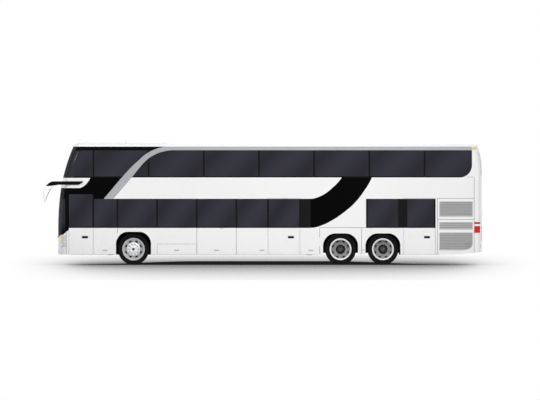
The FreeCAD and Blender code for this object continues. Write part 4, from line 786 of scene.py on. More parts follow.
def slotted_disc(profile, slots, slot_row, half_long, half_tall, steps=144, phase=0.0):
    """A wheel disc: a profile of (radius, y) turned about Y, with a ring of oval openings.

    A face is left out where its middle lies inside one of the ovals
    |along / half_long|^3 + |across / half_tall|^3 < 1, measured round the wheel and along its
    radius from the slot's centre, and the points round each opening move on to the oval. Rows
    are added between the profile's, about every ROW_STEP.
    """
    rows = []
    for (r0, y0), (r1, y1) in zip(profile[:-1], profile[1:]):
        count = max(1, int(math.hypot(r1 - r0, y1 - y0) / ROW_STEP))
        rows += [(r0 + (r1 - r0) * k / count, y0 + (y1 - y0) * k / count) for k in range(count)]
    rows = np.array(rows + [profile[-1]], float)
    radius = np.tile(rows[:, 0], (steps, 1))
    angles = np.tile(full_turn(steps)[:, None], (1, len(rows)))
    pitch = 2 * math.pi / slots
    local = np.mod(angles - phase + pitch / 2, pitch) - pitch / 2
    along = local * slot_row
    across = radius - slot_row

    def oval(a, b):
        return np.abs(a / half_long) ** 3 + np.abs(b / half_tall) ** 3

    faces = grid_faces(steps, len(rows), True)
    face_along = along.reshape(-1)[faces]
    inside = oval(face_along.mean(1), across.reshape(-1)[faces].mean(1)) < 1
    inside &= np.ptp(face_along, axis=1) <= half_long * 2
    mask = np.zeros(radius.size, bool)
    mask[np.intersect1d(faces[inside].ravel(), faces[~inside].ravel())] = True
    mask = mask.reshape(radius.shape)
    size = np.maximum(oval(along, across) ** (1 / 3), 1e-6)
    grow = np.where(mask, 1 / size, 1.0) - 1
    angles = angles + local * grow
    radius = radius + across * grow
    verts = points(radius * np.cos(angles), rows[:, 1], radius * np.sin(angles))
    used, faces = np.unique(faces[~inside], return_inverse=True)
    return verts.reshape(-1, 3)[used], faces.reshape(-1, 4)


RIM_BARREL = [(0.3735, -0.128), (0.370, -0.134), (0.362, -0.134), (0.356, -0.127),
              (0.350, -0.110), (0.340, -0.080), (0.322, -0.060), (0.315, 0.0), (0.322, 0.070),
              (0.345, 0.100), (0.356, 0.127), (0.362, 0.134), (0.370, 0.134), (0.3735, 0.128),
              (0.358, 0.105), (0.352, 0.095), (0.334, 0.066), (0.327, 0.0), (0.334, -0.060),
              (0.352, -0.090), (0.360, -0.112)]
# The discs' faces run from the barrel to the hub: (radius, y), with -Y outwards
FRONT_DISC = [(0.330, -0.052), (0.318, -0.060), (0.300, -0.052), (0.285, -0.046),
              (0.262, -0.046), (0.238, -0.056), (0.222, -0.078)]
FRONT_PLATE = [(0.222, -0.078), (0.210, -0.092), (0.196, -0.094), (0.150, -0.092),
               (0.134, -0.092)]
FRONT_RING = [(0.210, -0.090), (0.207, -0.100), (0.199, -0.102), (0.192, -0.093)]
REAR_DISC = [(0.335, 0.050), (0.322, 0.044), (0.310, 0.040), (0.290, 0.046), (0.268, 0.050),
             (0.246, 0.054), (0.228, 0.064), (0.205, 0.078), (0.150, 0.080), (0.110, 0.080)]
REAR_RING = [(0.349, -0.126), (0.343, -0.132), (0.318, -0.128), (0.302, -0.096),
             (0.310, -0.062)]
FRONT_HUB = [(0.0001, -0.128), (0.038, -0.128), (0.042, -0.122), (0.060, -0.122),
             (0.112, -0.118), (0.130, -0.108), (0.137, -0.094), (0.137, 0.04), (0.0001, 0.04)]
REAR_HUB = [(0.0001, -0.060), (0.050, -0.060), (0.056, -0.054), (0.060, -0.040), (0.078, -0.038),
            (0.086, -0.030), (0.088, 0.030), (0.100, 0.050), (0.112, 0.062), (0.116, 0.080),
            (0.116, 0.12), (0.0001, 0.12)]
SHIELD = [(0.0001, -0.002), (0.300, -0.002), (0.312, -0.006), (0.312, 0.002), (0.0001, 0.002)]
DRUM = [(0.0001, -0.020), (0.190, -0.020), (0.205, -0.008), (0.206, 0.020), (0.212, 0.024),
        (0.212, 0.115), (0.200, 0.125), (0.0001, 0.125)]


def make_wheel(name):
    """One wheel's barrel, slotted disc, hub, brake drum and nuts, with -Y outwards."""
    front = name.startswith("front")
    side = -1 if name.endswith("left") else 1
    *_, ys, twin = wheel_place(name)
    outer, inner = ys[::-side]
    low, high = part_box("rim_" + name)
    x, z = (low[0] + high[0]) / 2, (low[2] + high[2]) / 2

    def dress(word, shape, finish, sharp):
        return put(word + "_" + name, moved(shape, x, outer, z, (1, -side, 1)), finish,
                   "wheel_" + name, sharp)

    barrel = lathe(RIM_BARREL, 96)
    if twin:
        barrel = joined(barrel, moved(lathe(RIM_BARREL, 64), 0, abs(inner - outer)))
    shrink = FRONT_RIM if front else REAR_RIM
    rim = dress("rim_barrel", moved(barrel, scale=(shrink, 1, shrink)), "rim lip", 40)
    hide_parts("rim_" + name)
    disc, row = (FRONT_DISC, 0.262) if front else (REAR_DISC, 0.268)
    face = slotted_disc(disc, 8, row, 0.048, 0.026, phase=math.pi / 8)
    dress("wheel_disc", joined(face, flipped(moved(face, 0, 0.010))),
          "wheel paint" if front else "wheel dark", 50)
    dress("hub", flipped(lathe(FRONT_HUB if front else REAR_HUB, 64)),
          "hub paint" if front else "hub dark", 35)
    drum = joined(moved(lathe(DRUM, 48), 0, 0.02 if front else 0.10),
                  moved(lathe(SHIELD, 48), 0, 0.03 if front else 0.09))
    dress("drum", flipped(drum), "dark metal", 35)
    if front:
        dress("hub_plate", slotted_disc(FRONT_PLATE, 8, 0.5, 0.001, 0.001), "hub paint", 50)
        dress("wheel_nuts", nut_ring(0.032, 0.026, 10, 0.168, -0.092), "wheel paint", 30)
        dress("hub_eye", moved(capped_disc(0.040, 0.006), 0, -0.127), "seal rubber", 35)
        dress("nuts", joined(nut_ring(0.026, 0.018, 4, 0.096, -0.118, math.pi / 4),
                             lathe(FRONT_RING, 72)), "bright metal", 30)
    else:
        dress("lip_band", lathe(REAR_RING, 96), "hub paint", 35)
        dress("nuts", joined(nut_ring(0.030, 0.034, 10, 0.140, 0.080),
                             nut_ring(0.020, 0.014, 8, 0.070, -0.038)), "dark metal", 30)


def make_wheels(sizes):
    """Replace each CAD rim by a barrel, a slotted disc, a hub, a brake drum and nuts."""
    for name in WHEELS:
        make_wheel(name)


# Fittings on the body's sides
def side_block(x0, x1, z0, z1, proud, sunk=0.002):
    """A thin block on the left side wall, standing proud of it, from its corners."""
    corners = np.array([[x, y, z] for x in (station(x0), station(x1))
                        for y in (sunk - SIDE, -SIDE - proud) for z in (z0, z1)])
    faces = np.array([[0, 1, 3, 2], [4, 6, 7, 5], [0, 2, 6, 4], [1, 5, 7, 3], [2, 3, 7, 6],
                      [0, 4, 5, 1]])
    return corners, faces[:, ::-1]


# Seams on both sides, then on one: first station, last station, low, high
SEAMS = [
    (1.939, 1.939, 1.035, 1.205), (4.531, 4.531, 0.345, 1.205), (5.827, 5.827, 0.345, 1.205),
    (8.551, 8.551, 0.345, 0.620), (9.924, 9.924, 0.345, 1.205), (12.403, 12.403, 0.345, 2.170),
    (12.403, 13.600, 2.170, 2.170), (12.403, 13.600, 1.484, 1.484),
    (13.380, 13.600, 2.868, 2.868), (13.603, 13.603, 0.400, 2.850)]
LEFT_SEAMS = [(0.262, 0.262, 0.345, 1.110), (8.551, 8.551, 0.900, 1.215),
              (8.551, 10.060, 1.217, 1.217), (9.900, 10.030, 0.484, 0.484)]
RIGHT_SEAMS = [
    (0.345, 0.345, 0.345, 1.200), (1.148, 1.148, 0.345, 1.205), (6.860, 6.860, 0.345, 1.205),
    (7.907, 7.907, 0.345, 1.205), (8.551, 12.403, 1.217, 1.217), (11.295, 11.295, 0.345, 1.205)]
SKIRT_RUNS = [(0.30, 1.88), (3.07, 8.64), (11.22, 12.42)]
# Each latch's station and what it rides on, with two of them on the service flaps
LATCHES = [(1.530, None), (3.875, "front"), (5.180, "rear"), (6.664, None), (8.266, None)]
LATCH_HEIGHT = 0.474
HANDLE_HEIGHT = 0.903
SEAM_PROUD = 0.0008


def make_seams(sizes):
    """Draw the panels' sealed seams, the rub rail at the skirt, and the latches of the flaps."""
    half = sizes.seam / 2

    def lines(seams):
        shapes = []
        for x0, x1, z0, z1 in seams:
            dx, dz = (half, 0) if x0 == x1 else (0, half)
            shapes.append(side_block(x0 - dx, x1 + dx, z0 - dz, z1 + dz, SEAM_PROUD))
        return joined(*shapes)

    right = moved(lines(RIGHT_SEAMS), scale=(1, -1, 1))
    put("panel_seams", joined(both_sides(lines(SEAMS)), lines(LEFT_SEAMS), right), "seam grey",
        smooth=False)
    rails = joined(*[side_block(first, last, 0.338, 0.350, 0.002) for first, last in SKIRT_RUNS])
    put("skirt_rail", both_sides(rails), "rail metal", smooth=False)
    body = plate(rounded_outline(0.165, 0.042, 0.018), 0.0025, 0.001)
    eye = plate(rounded_outline(0.022, 0.022, 0.011), 0.0045, 0.001)
    latch = joined(body, moved(eye, 0.05))
    placed = [(moved(latch, station(x), -SIDE, LATCH_HEIGHT), flap) for x, flap in LATCHES]
    fixed = joined(*[shape for shape, flap in placed if not flap])
    put("flap_latches", both_sides(fixed), "latch metal", sharp=30)
    for shape, flap in placed:
        for side, mirror in (("left_", 1), ("right_", -1)) if flap else ():
            put("latch_" + side + flap, moved(shape, scale=(1, mirror, 1)), "latch metal",
                "flap_" + side + flap + "_leaf", 30)


def make_handles(sizes):
    """Add a black recessed handle to each door: a dished plate with a grip bar and a lock."""
    t = np.linspace(0, 1, 13)
    path = points((t - 0.5) * 0.170, -0.003 - 0.017 * np.sin(math.pi * t) ** 0.5, 0.012)
    shape = joined(plate(rounded_outline(0.196, 0.075, 0.018), 0.003, 0.0015),
                   plate(rounded_outline(0.160, 0.046, 0.014), 0.0038, 0.0006),
                   swept(path, rounded_outline(0.010, 0.026, 0.004, 2)),
                   moved(plate(rounded_outline(0.020, 0.020, 0.0099), 0.007, 0.001),
                         0.078, 0, -0.018))
    for door, x in (("front_door", 0.876), ("mid_door", 7.612), ("rear_door", 12.060)):
        put("handle_" + door, moved(shape, station(x), -SIDE, HANDLE_HEIGHT), "handle black",
            door + "_leaf", 32)


def make_grilles(sizes):
    """Back the slats of each grille with a sheet of expanded mesh."""
    # The lowest grille's rear lower corner is filled outside a quarter of an oval
    t = np.linspace(0, 1, 13)
    turn = t * math.pi / 2
    oval = station(13.253 + 0.311 * np.sin(turn)), 0.703 - 0.226 * np.cos(turn)
    square = (station(13.253 + 0.327 * np.minimum(2 * t, 1)),
              0.460 + 0.243 * np.maximum(2 * t - 1, 0))
    rows = [points(x, y - SIDE, z) for (x, z), y in (
        (oval, -0.0015), (square, -0.0015), (square, 0.003), (oval, 0.003))]
    put("grille_corners", both_sides((np.concatenate(rows), grid_faces(4, 13, True))), "enamel",
        smooth=False)
    first, step, last = 12.474, 13.31, 13.545
    sheets = [side_block(*sheet, -0.024, 0.032) for sheet in (
        (first, last, 1.588, 2.058), (first, last, 1.166, 1.381), (first, step, 0.489, 1.041),
        (step, last, 0.714, 1.041))]
    put("grille_mesh", both_sides(joined(*sheets)), "grille mesh", smooth=False)


# Lamps and markers
def dome(half_x, half_y, half_z, columns=24, rows=8, power=0.85):
    """A lens that bulges to -Y: y = -half_y * cos(v)^power over an oval of rings."""
    v = np.linspace(0, math.pi / 2, rows)[:, None]
    u = full_turn(columns)
    reach = np.maximum(np.sin(v), 0.001) ** 0.8
    verts = points(half_x * reach * np.cos(u), -half_y * np.cos(v) ** power,
                   half_z * reach * np.sin(u))
    return capped(verts, rows, columns)


def make_lamps(sizes):
    """Add the amber roof markers, the tail lamps' wings and the rear reflectors."""
    marker = moved(dome(0.094, 0.016, 0.056), station(13.600), -SIDE + 0.004, 3.812)
    put("roof_markers", both_sides(marker), "amber lens", sharp=60)
    wing = side_block(13.612, 13.651, 1.043, 1.396, 0.004)
    put("tail_lens_wings", both_sides(wing), "red lens", smooth=False)
    rear = turned(plate(rounded_outline(0.14, 0.05, 0.01), 0.003, 0.001), "z", math.pi / 2)
    put("rear_reflectors", both_sides(moved(rear, 7.140, -0.98, 0.60)), "red lens",
        sharp=60)


# Mirrors
def loft(centres, halves, power=3.0, steps=24, flat="x"):
    """A tube of superellipse sections: |a / half_a|^power + |b / half_b|^power = 1.

    centres are points of the frame; halves are the half sizes of each section. With flat "x"
    the sections stand square to X (a = y, b = z), with "z" square to Z (a = x, b = y).
    """
    t = full_turn(steps)
    a = halves[:, :1] * np.sign(np.cos(t)) * np.abs(np.cos(t)) ** (2 / power)
    b = halves[:, 1:] * np.sign(np.sin(t)) * np.abs(np.sin(t)) ** (2 / power)
    offset = points(0, a, b) if flat == "x" else points(a, b, 0)
    return capped(centres[:, None] + offset, len(centres), steps)


# The arm's stations with its bottom and top, and the head's heights with its front, its rear and
# half its width
ARM_ROWS = [(0.818, 2.722, 2.730), (0.790, 2.692, 2.730), (0.740, 2.655, 2.730),
            (0.690, 2.626, 2.730), (0.640, 2.617, 2.730), (0.40, 2.616, 2.730),
            (0.10, 2.616, 2.730), (-0.03, 2.616, 2.730), (-0.09, 2.604, 2.730),
            (-0.183, 2.590, 2.729), (-0.235, 2.582, 2.716), (-0.285, 2.576, 2.690),
            (-0.335, 2.572, 2.652), (-0.375, 2.572, 2.618), (-0.392, 2.580, 2.600)]
HEAD_ROWS = [(2.575, -0.425, -0.150, 0.060), (2.566, -0.452, -0.142, 0.090),
             (2.552, -0.463, -0.150, 0.108), (2.528, -0.471, -0.180, 0.118),
             (2.490, -0.478, -0.222, 0.123), (2.446, -0.483, -0.258, 0.125),
             (2.364, -0.489, -0.307, 0.125), (2.282, -0.4905, -0.338, 0.124),
             (2.200, -0.485, -0.372, 0.120), (2.120, -0.470, -0.400, 0.110),
             (2.060, -0.449, -0.418, 0.090), (2.031, -0.436, -0.424, 0.055)]
EDGE_ROWS = [(-0.395, 2.566), (-0.34, 2.564), (-0.26, 2.566), (-0.18, 2.572), (-0.12, 2.585),
             (-0.06, 2.598), (0.0, 2.606)]
HEAD_POWER = 3.2
PANE_SHARE = 0.80


def make_mirrors(sizes):
    """Replace the mirrors: black arms over a pale foot, drop-shaped heads, and their glass."""
    y = -SIDE - 0.032
    back, low, high = np.array(ARM_ROWS).T
    halves = np.stack([np.full(len(back), 0.031), (high - low) / 2], -1)
    halves[0] *= 0.6
    halves[-1] *= 0.7
    arm = loft(points(station(back), y, (low + high) / 2), halves, 4.0)
    piece = put("mirror_arms", both_sides(arm), "mirror shell", sharp=50)
    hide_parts("mirrors")
    height, front, rear, half = np.array(HEAD_ROWS).T
    middle, depth = (front + rear) / 2, (rear - front) / 2
    head = loft(points(station(middle), y, height), np.stack([depth, half], -1), HEAD_POWER, 36,
                "z")
    put("mirror_heads", both_sides(head), "pale shell", sharp=60)
    keep = (height < 2.50) & (height > 2.10)
    v = np.linspace(-1, 1, 9) * PANE_SHARE
    bulge = (1 - np.abs(v) ** HEAD_POWER) ** (1 / HEAD_POWER)
    grid = points(station(middle[keep, None] + depth[keep, None] * bulge + 0.002),
                  y + half[keep, None] * v, height[keep, None])
    pane = grid.reshape(-1, 3), grid_faces(keep.sum(), 9)
    glass = put("mirror_panes", both_sides(pane), "mirror glass")
    skin = glass.modifiers.new("thickness", "SOLIDIFY")
    skin.thickness = 0.003
    skin.offset = 1.0
    back, height = np.array(EDGE_ROWS).T
    band = loft(points(station(back), y, height), np.tile([0.034, 0.012], (len(back), 1)), 2.5, 16)
    put("mirror_edge", both_sides(flipped(band)), "pale shell", sharp=50)


# Seats: their backs lean by 0.160 m over 0.770 m
LEAN = 0.160 / 0.770
SEAT_HEIGHT = 0.440
PAD_VOXEL = 0.027


def coordinates(mesh):
    """A mesh's points as an array."""
    flat = np.empty(len(mesh.vertices) * 3)
    mesh.vertices.foreach_get("co", flat)
    return flat.reshape(-1, 3)


def swollen(shape, reach):
    """Swell a closed shape as stuffed upholstery: cloth under pressure, its travel capped.

    The shape is remeshed to even quads, the cloth runs for 20 frames with no gravity, and each
    point moves by its cloth travel d, scaled by min(1, reach / |d|).
    """
    scene = bpy.context.scene
    pad = shaped("pad", shape)
    remesh = pad.modifiers.new("remesh", "REMESH")
    remesh.mode = "VOXEL"
    remesh.voxel_size = PAD_VOXEL
    even = bpy.data.meshes.new_from_object(pad.evaluated_get(
        bpy.context.evaluated_depsgraph_get()))
    pad.modifiers.remove(remesh)
    pad.data = even
    before = after = coordinates(even)
    faces = np.empty(len(even.polygons) * 4, int)
    even.polygons.foreach_get("vertices", faces)
    sheet = pad.modifiers.new("cloth", "CLOTH")
    sheet.settings.quality = 4
    sheet.settings.use_pressure = True
    sheet.settings.uniform_pressure_force = 4.0
    sheet.settings.effector_weights.gravity = 0.0
    sheet.point_cache.frame_start = 1
    sheet.point_cache.frame_end = 20
    for step in range(1, 21):
        scene.frame_set(step)
    after = coordinates(pad.evaluated_get(bpy.context.evaluated_depsgraph_get()).data)
    scene.frame_set(1)
    travel = after - before
    length = np.linalg.norm(travel, axis=1)[:, None]
    travel *= np.minimum(1.0, reach / np.maximum(length, 1e-9))
    bpy.data.objects.remove(pad)
    return before + travel, faces.reshape(-1, 4)


def seat_pads(width):
    """The two pads of one place, facing -X with its front at x = 0 and the floor at z = 0.

    The back leans as x = lean * (z - foot); its headrest is a second swollen block on top.
    """
    def pad(size, edge, reach, x, z):
        return moved(swollen(rounded_block(size, edge), reach), x, 0, z)

    seat, faces = pad((0.440, width - 0.05, 0.092), 0.036, 0.014, 0.240, 0.376)
    back = joined(pad((0.070, width - 0.06, 0.450), 0.030, 0.014, 0, 0.680),
                  pad((0.062, width - 0.12, 0.150), 0.026, 0.012, -0.004, 0.975))
    # The back's middle line runs up the CAD back, and its sides wrap forwards a little
    verts = back[0]
    verts[:, 0] += 0.425 + (verts[:, 2] - SEAT_HEIGHT) * LEAN - 0.35 * verts[:, 1] ** 2
    # The cushion dips where one sits
    dip = 0.010 * np.exp(-((seat[:, 0] - 0.28) / 0.13) ** 2 - (seat[:, 1] / 0.13) ** 2)
    seat[:, 2] -= np.where(seat[:, 2] > 0.38, dip, 0.0)
    return (seat, faces), back


def seat_frame(width, places):
    """The shells, arms, foot and grab rail that carry the pads of one bench."""
    span = width / places
    shapes = []
    for k in range(places):
        y = (k + 0.5) * span - width / 2
        verts, faces = moved(rounded_block((0.030, span - 0.045, 0.560), 0.014), 0, y, 0.740)
        verts[:, 0] += 0.471 + (verts[:, 2] - SEAT_HEIGHT) * LEAN
        pan = moved(rounded_block((0.430, span - 0.03, 0.030), 0.012), 0.240, y, 0.322)
        shapes += [(verts, faces), pan]
    t = np.linspace(0, 1, 9)
    for y in (0.022 - width / 2, width / 2 - 0.022):
        arm = points(0.17 + 0.30 * t, y, 0.610 + 0.02 * np.sin(math.pi * t))
        shapes.append(swept(arm, rounded_outline(0.034, 0.028, 0.012, 2)))
    foot = moved(rounded_block((0.300, 0.280, 0.030), 0.010), 0.240, 0, 0.015)
    post = moved(rounded_block((0.200, 0.090, 0.290), 0.020), 0.240, 0, 0.160)
    t = np.linspace(0, math.pi, 17)
    top = 0.985 + 0.045 * np.sin(t)
    rail = points(0.500 + (top - SEAT_HEIGHT) * LEAN, (0.07 - width / 2) * np.cos(t), top)
    return joined(*shapes, foot, post, swept(rail, round_profile(0.011, 8)))


def bench_places(spots, floor):
    """Places (3 x 4) of benches from (station, middle y) pairs, all facing forwards."""
    spots = np.array(spots)
    places = np.zeros((len(spots), 3, 4))
    places[:, :, :3] = np.eye(3)
    places[:, :, 3] = points(station(spots[:, 0]), spots[:, 1], floor)
    return places


def make_seats(sizes):
    """Replace the block seats by pads on shells, arms and feet, and dress the driver's seat."""
    # The stairs take the place of three benches on the right
    rows = [1.7 + 0.8 * i for i in range(14)]
    upper = [(x, -0.760) for x in rows] + [(x, 0.760) for x in rows if not 5.310 < x < 7.750]
    lower = [(3.3 + 0.8 * i, side * 0.8625) for side, n in ((-1, 4), (1, 3)) for i in range(n)]
    for name, node, finish, spots, floor, width, places in (
            ("upper", "seats_upper", "moquette", upper, 2.230, 0.900, 2),
            ("lower", "seats_lower", "moquette", lower, 0.700, 0.695, 2),
            ("driver", "seats_lower", "driver cloth", [(1.350, 0.640)], 0.420, 0.520, 1)):
        span = round(width / places, 3)
        middles = [(k + 0.5) * span - width / 2 for k in range(places)]
        stands = bench_places([(x, y + dy) for x, y in spots for dy in middles], floor)
        for word, pad in zip(("seat_cushions_", "seat_backs_"), seat_pads(span)):
            piece = put(word + name, copies(pad, stands), finish)
            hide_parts(node)
        put("seat_frames_" + name, copies(seat_frame(width, places), bench_places(spots, floor)),
            "seat shell", sharp=40)


# The driver's place and the ends
def make_cab(sizes):
    """Add the driver's wheel, its spokes, the instrument hood and the dials' faces."""
    turn = full_turn(48)
    ring = swept(points(0.222 * np.cos(turn), 0.222 * np.sin(turn), 0.0),
                 round_profile(0.016, 10), closed=True)
    t = np.linspace(0.04, 0.215, 6)
    spokes = [swept(points(t * math.cos(angle), t * math.sin(angle), -0.02 * (1 - t / 0.215)),
                    rounded_outline(0.034, 0.012, 0.005, 2))
              for angle in (0.35, math.pi - 0.35, 1.5 * math.pi)]
    boss = turned(capped_disc(0.062, 0.018), "x", -math.pi / 2)
    wheel = turned(joined(ring, boss, *spokes), "y", math.atan2(0.330, 0.420))
    # The wheel stands 0.432 m up its column
    put("steering_wheel_rim",
        moved(wheel, station(0.630 + 0.432 * 0.618), 0.640, 0.845 + 0.432 * 0.786),
        "dash plastic", sharp=40)
    hood = turned(rounded_block((0.26, 0.56, 0.12), 0.05), "y", -0.25)
    put("instrument_hood", moved(hood, station(0.600), 0.640, 1.035), "dash plastic",
        sharp=50)
    dial = turned(capped_disc(0.050, 0.006), "z", math.pi / 2)
    dials = turned(joined(*[moved(dial, 0, y) for y in (0.50, 0.64, 0.78)]), "y", -0.25)
    put("dial_faces", moved(dials, station(0.735), 0, 1.035), "dial face",
        sharp=50)


def tail_bar(half, low, high, proud=0.0012, sunk=0.002):
    """A thin bar on the rear face, which bows forwards from the middle line as y^2 / 23.2."""
    y = np.linspace(-half, half, 17)
    x = HIGH[0] - y ** 2 / 23.2
    rows = [points(x + out, y, z) for out, z in (
        (proud, low), (proud, high), (-sunk, high), (-sunk, low))]
    ends = np.array([[0, 17, 34, 51], [67, 50, 33, 16]])
    return np.concatenate(rows), np.concatenate([grid_faces(4, 17, True)[:, ::-1], ends])


def make_ends(sizes):
    """Add blank plates front and rear, and the engine lid's louvres and lock."""
    front = turned(plate(rounded_outline(0.520, 0.113, 0.012), 0.006, 0.0015), "z", -math.pi / 2)
    put("front_plate", moved(front, station(0.004), 0, 0.455), "plate white",
        sharp=40)
    louvres = [tail_bar(0.66, 0.80 + 0.045 * k, 0.822 + 0.045 * k) for k in range(11)]
    for name, shape, finish, slot in (
            ("lid_louvres", joined(*louvres), "seal rubber", "wiper_black"),
            ("rear_plate", tail_bar(0.26, 0.583, 0.697), "plate white", "body_paint"),
            ("lid_lock", tail_bar(0.07, 1.415, 1.460), "handle black", "wiper_black")):
        put(name, shape, finish, "engine_lid_leaf", 40)


# The studio. The photograph's width and height, and where the coach's nose and the ground stand
PICTURE = 540, 400
NOSE_COLUMN = 58.2
GROUND_ROW = 264.8


def lamp(name, place, aim, size, power, spread=180):
    """A soft lamp that looks at a point."""
    data = bpy.data.lights.new(name, "AREA")
    data.shape = "RECTANGLE"
    data.size, data.size_y = size
    data.energy = power
    data.spread = math.radians(spread)
    light = linked(name, data)
    light.location = place
    light.rotation_euler = (Vector(aim) - Vector(place)).to_track_quat("-Z", "Y").to_euler()


def floor_shape():
    """A pale floor, level under the wheels, that rises behind the coach and falls before it.

    Before the coach the height falls by 0.13 m a metre over 4 m. Behind it the floor rises by
    0.083 m a metre over 4 m, too gently to hide a wheel from the far side. Between the wheels it
    swells by 0.12 m s(across) s(along), with s(t) = t^2 (3 - 2t), so less towards the coach's
    ends, so that the deep shade under the coach shows from the side.
    """
    def eased(t):
        t = np.clip(t, 0, 1)
        return t * t * (3 - 2 * t)

    x = np.linspace(-24, 24, 193)[:, None]
    y = np.concatenate([[-24, -16, -10, -7], np.linspace(-5, 5, 101), [7, 10, 16, 24]])
    z = (0.083 * np.clip(y - 1.28, 0, 4) - 0.13 * np.clip(-y - 1.28, 0, 4)
         + 0.12 * eased((0.60 - np.abs(y)) / 0.25) * eased((6.2 - np.abs(x)) / 4.0))
    return points(x, y, z).reshape(-1, 3), grid_faces(len(x), len(y))


def blend(mask, first, second):
    """Mix two shaders by a mask."""
    node = add(mask.id_data, "MixShader", Fac=mask)
    for socket, shader in zip(node.inputs[1:], (first, second)):
        mask.id_data.links.new(shader, socket)
    return node.outputs[0]


def ramp(value, low, high, out_low, out_high, kind="SMOOTHSTEP"):
    """Carry one range of a value over to another."""
    node = add(value.id_data, "MapRange", Value=value, From_Min=low, From_Max=high,
               To_Min=out_low, To_Max=out_high)
    node.interpolation_type = kind
    return node.outputs["Result"]


def make_stage(studio):
    """A pale floor, a pale world that the camera, gloss and glass see as white, lamps, camera.

    The camera sees the floor as white where the sky above it is open, and as dark as the coach
    near by hides that sky. Every other ray meets an ordinary matt floor.
    """
    scene = bpy.context.scene
    scene.view_settings.view_transform = "Standard"
    world = bpy.data.worlds.new("studio")
    scene.world = world
    world.use_nodes = True
    tree = world.node_tree
    tree.nodes.clear()
    path = add(tree, "LightPath").outputs
    seen = most(path["Is Camera Ray"], path["Is Transmission Ray"], path["Is Glossy Ray"])
    dim, white = [add(tree, "Background", Color=(1, 1, 1, 1), Strength=strength).outputs[0]
                  for strength in (studio.sky, 1.0)]
    add(tree, "OutputWorld", Surface=blend(seen, dim, white))

    floor = shaped("floor", floor_shape())
    mesh = floor.data
    mesh.polygons.foreach_set("use_smooth", np.full(len(mesh.polygons), True))
    shader, place = material("studio floor")
    feed(shader, Base_Color=(0.82, 0.82, 0.82, 1), Roughness=0.9, Specular_IOR_Level=0.0)
    tree = shader.id_data
    hidden = ramp(add(tree, "AmbientOcclusion", Distance=6.0).outputs["AO"],
                  0.47, 0.955, 0.985, 0.0, "LINEAR")
    x = add(tree, "SeparateXYZ", Vector=place).outputs["X"]
    beside = ramp(size_of(minus(x, 0.25)), 5.6, 9.2, 1.0, 0.0)
    shade = add(tree, "Emission", Color=minus(1.0, times(hidden, beside))).outputs[0]
    length = tree.nodes.new("ShaderNodeVectorMath")
    length.operation = "LENGTH"
    tree.links.new(place, length.inputs[0])
    fade = ramp(length.outputs["Value"], 10.0, 19.0, 1.0, 0.0)
    clear = add(tree, "BsdfTransparent").outputs[0]
    camera_ray = add(tree, "LightPath").outputs["Is Camera Ray"]
    seen = blend(camera_ray, shader.outputs[0], shade)
    feed(tree.nodes["Material Output"], Surface=blend(fade, clear, seen))
    mesh.materials.append(bpy.data.materials["studio floor"])

    lamp("key", (-1, -17, 8.6), (0, 0, 1.6), (15, 7), studio.key)
    lamp("fill", (5, -15, 8.2), (2, 0, 1.8), (12, 6), studio.key * 0.52)
    lamp("top", (0, 0, 12), (0, 0, 0), (17, 3.4), studio.key * 0.35)
    lamp("far", (4, 17, 8), (0, 0, 2), (14, 6), studio.key * 0.85)
    lamp("nose", (-20, -2, 6), (-6, 0, 2), (8, 6), studio.key * 0.03)
    lamp("brow", (-11, -5, 5.2), (-6.9, -1.0, 3.1), (2, 0.6), studio.key * 0.010, 46)
    lamp("tail", (20, 2, 6), (6, 0, 2), (8, 6), studio.key * 0.3)

    data = bpy.data.cameras.new("camera")
    data.type = "ORTHO"
    data.ortho_scale = PICTURE[0] * studio.pixel
    data.clip_end = 200
    camera = linked("camera", data)
    lift = math.radians(studio.lift)
    middle = Vector((station((PICTURE[0] / 2 - NOSE_COLUMN) * studio.pixel), 0,
                     (GROUND_ROW - PICTURE[1] / 2) * studio.pixel))
    camera.location = middle + 40 * Vector((0, -math.cos(lift), math.sin(lift)))
    camera.rotation_euler = (math.pi / 2 - lift, 0, 0)
    scene.camera = camera


# The add-on
def colour(name, description, value):
    """A colour setting."""
    return bpy.props.FloatVectorProperty(name=name, description=description, subtype="COLOR",
                                         default=value, min=0, max=1)


class CoachColours(bpy.types.PropertyGroup):
    """Colours of the outside."""
    enamel: colour("Body enamel", "Main colour of the body panels", (0.86, 0.86, 0.865))
    livery_black: colour("Black field", "Colour of the black fields", (0.0006, 0.0006, 0.0007))
    stripe: colour("Stripe", "Colour of the silver stripe", (0.405, 0.415, 0.435))
    side_glass: colour("Side glass", "Tint of the side windows", (0.0150, 0.0146, 0.0222))


class CoachSizes(bpy.types.PropertyGroup):
    """Sizes of added detail."""
    seam: bpy.props.FloatProperty(
        name="Seam width", description="Width of the panels' sealed seams", default=0.013,
        unit="LENGTH")


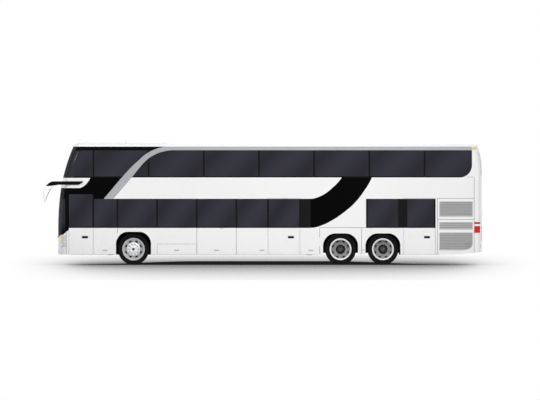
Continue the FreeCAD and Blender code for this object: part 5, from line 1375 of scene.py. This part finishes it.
class CoachStudio(bpy.types.PropertyGroup):
    """The camera and light."""
    pixel: bpy.props.FloatProperty(
        name="Scale", description="Length that one pixel of the picture spans",
        default=0.0327, unit="LENGTH", precision=4)
    lift: bpy.props.FloatProperty(
        name="Camera lift", description="Height angle of the camera in degrees", default=0.0)
    sky: bpy.props.FloatProperty(
        name="Sky light", description="Strength of the even light all round", default=0.45)
    key: bpy.props.FloatProperty(
        name="Key lamp", description="Power of the main soft lamp", default=1025.0,
        unit="POWER")


def operator(label, work, settings="coach_sizes"):
    """Make an operator class that runs one making function with its settings."""
    def execute(self, context):
        work(getattr(context.scene, settings))
        return {"FINISHED"}

    name = work.__name__.removeprefix("make_")
    return type("COACH_OT_" + name, (bpy.types.Operator,), {
        "bl_idname": "coach." + name, "bl_label": label, "__doc__": work.__doc__.splitlines()[0],
        "execute": execute})


OPERATORS = [
    operator("Finishes", make_finishes, "coach_colours"),
    operator("Tyres", make_tyres),
    operator("Wheels", make_wheels),
    operator("Seams", make_seams),
    operator("Door handles", make_handles),
    operator("Grilles", make_grilles),
    operator("Lamps", make_lamps),
    operator("Mirrors", make_mirrors),
    operator("Seats", make_seats),
    operator("Driver's place", make_cab),
    operator("Ends", make_ends),
    operator("Studio", make_stage, "coach_studio"),
]


class COACH_PT_dressing(bpy.types.Panel):
    """Sidebar list of the coach's operators."""
    bl_label = "Coach dressing"
    bl_idname = "COACH_PT_dressing"
    bl_space_type = "VIEW_3D"
    bl_region_type = "UI"
    bl_category = "Coach"

    def draw(self, context):
        for step in OPERATORS:
            self.layout.operator(step.bl_idname)


CLASSES = [CoachColours, CoachSizes, CoachStudio, *OPERATORS, COACH_PT_dressing]


def register():
    for item in CLASSES:
        bpy.utils.register_class(item)
    bpy.types.Scene.coach_colours = bpy.props.PointerProperty(type=CoachColours)
    bpy.types.Scene.coach_sizes = bpy.props.PointerProperty(type=CoachSizes)
    bpy.types.Scene.coach_studio = bpy.props.PointerProperty(type=CoachStudio)


def unregister():
    del bpy.types.Scene.coach_studio
    del bpy.types.Scene.coach_sizes
    del bpy.types.Scene.coach_colours
    for item in reversed(CLASSES):
        bpy.utils.unregister_class(item)


def main():
    """Register, run every operator in order and write the boxes before and after."""
    register()
    for step in OPERATORS:
        part, name = step.bl_idname.split(".")
        getattr(getattr(bpy.ops, part), name)()


if __name__ == "__main__":
    main()
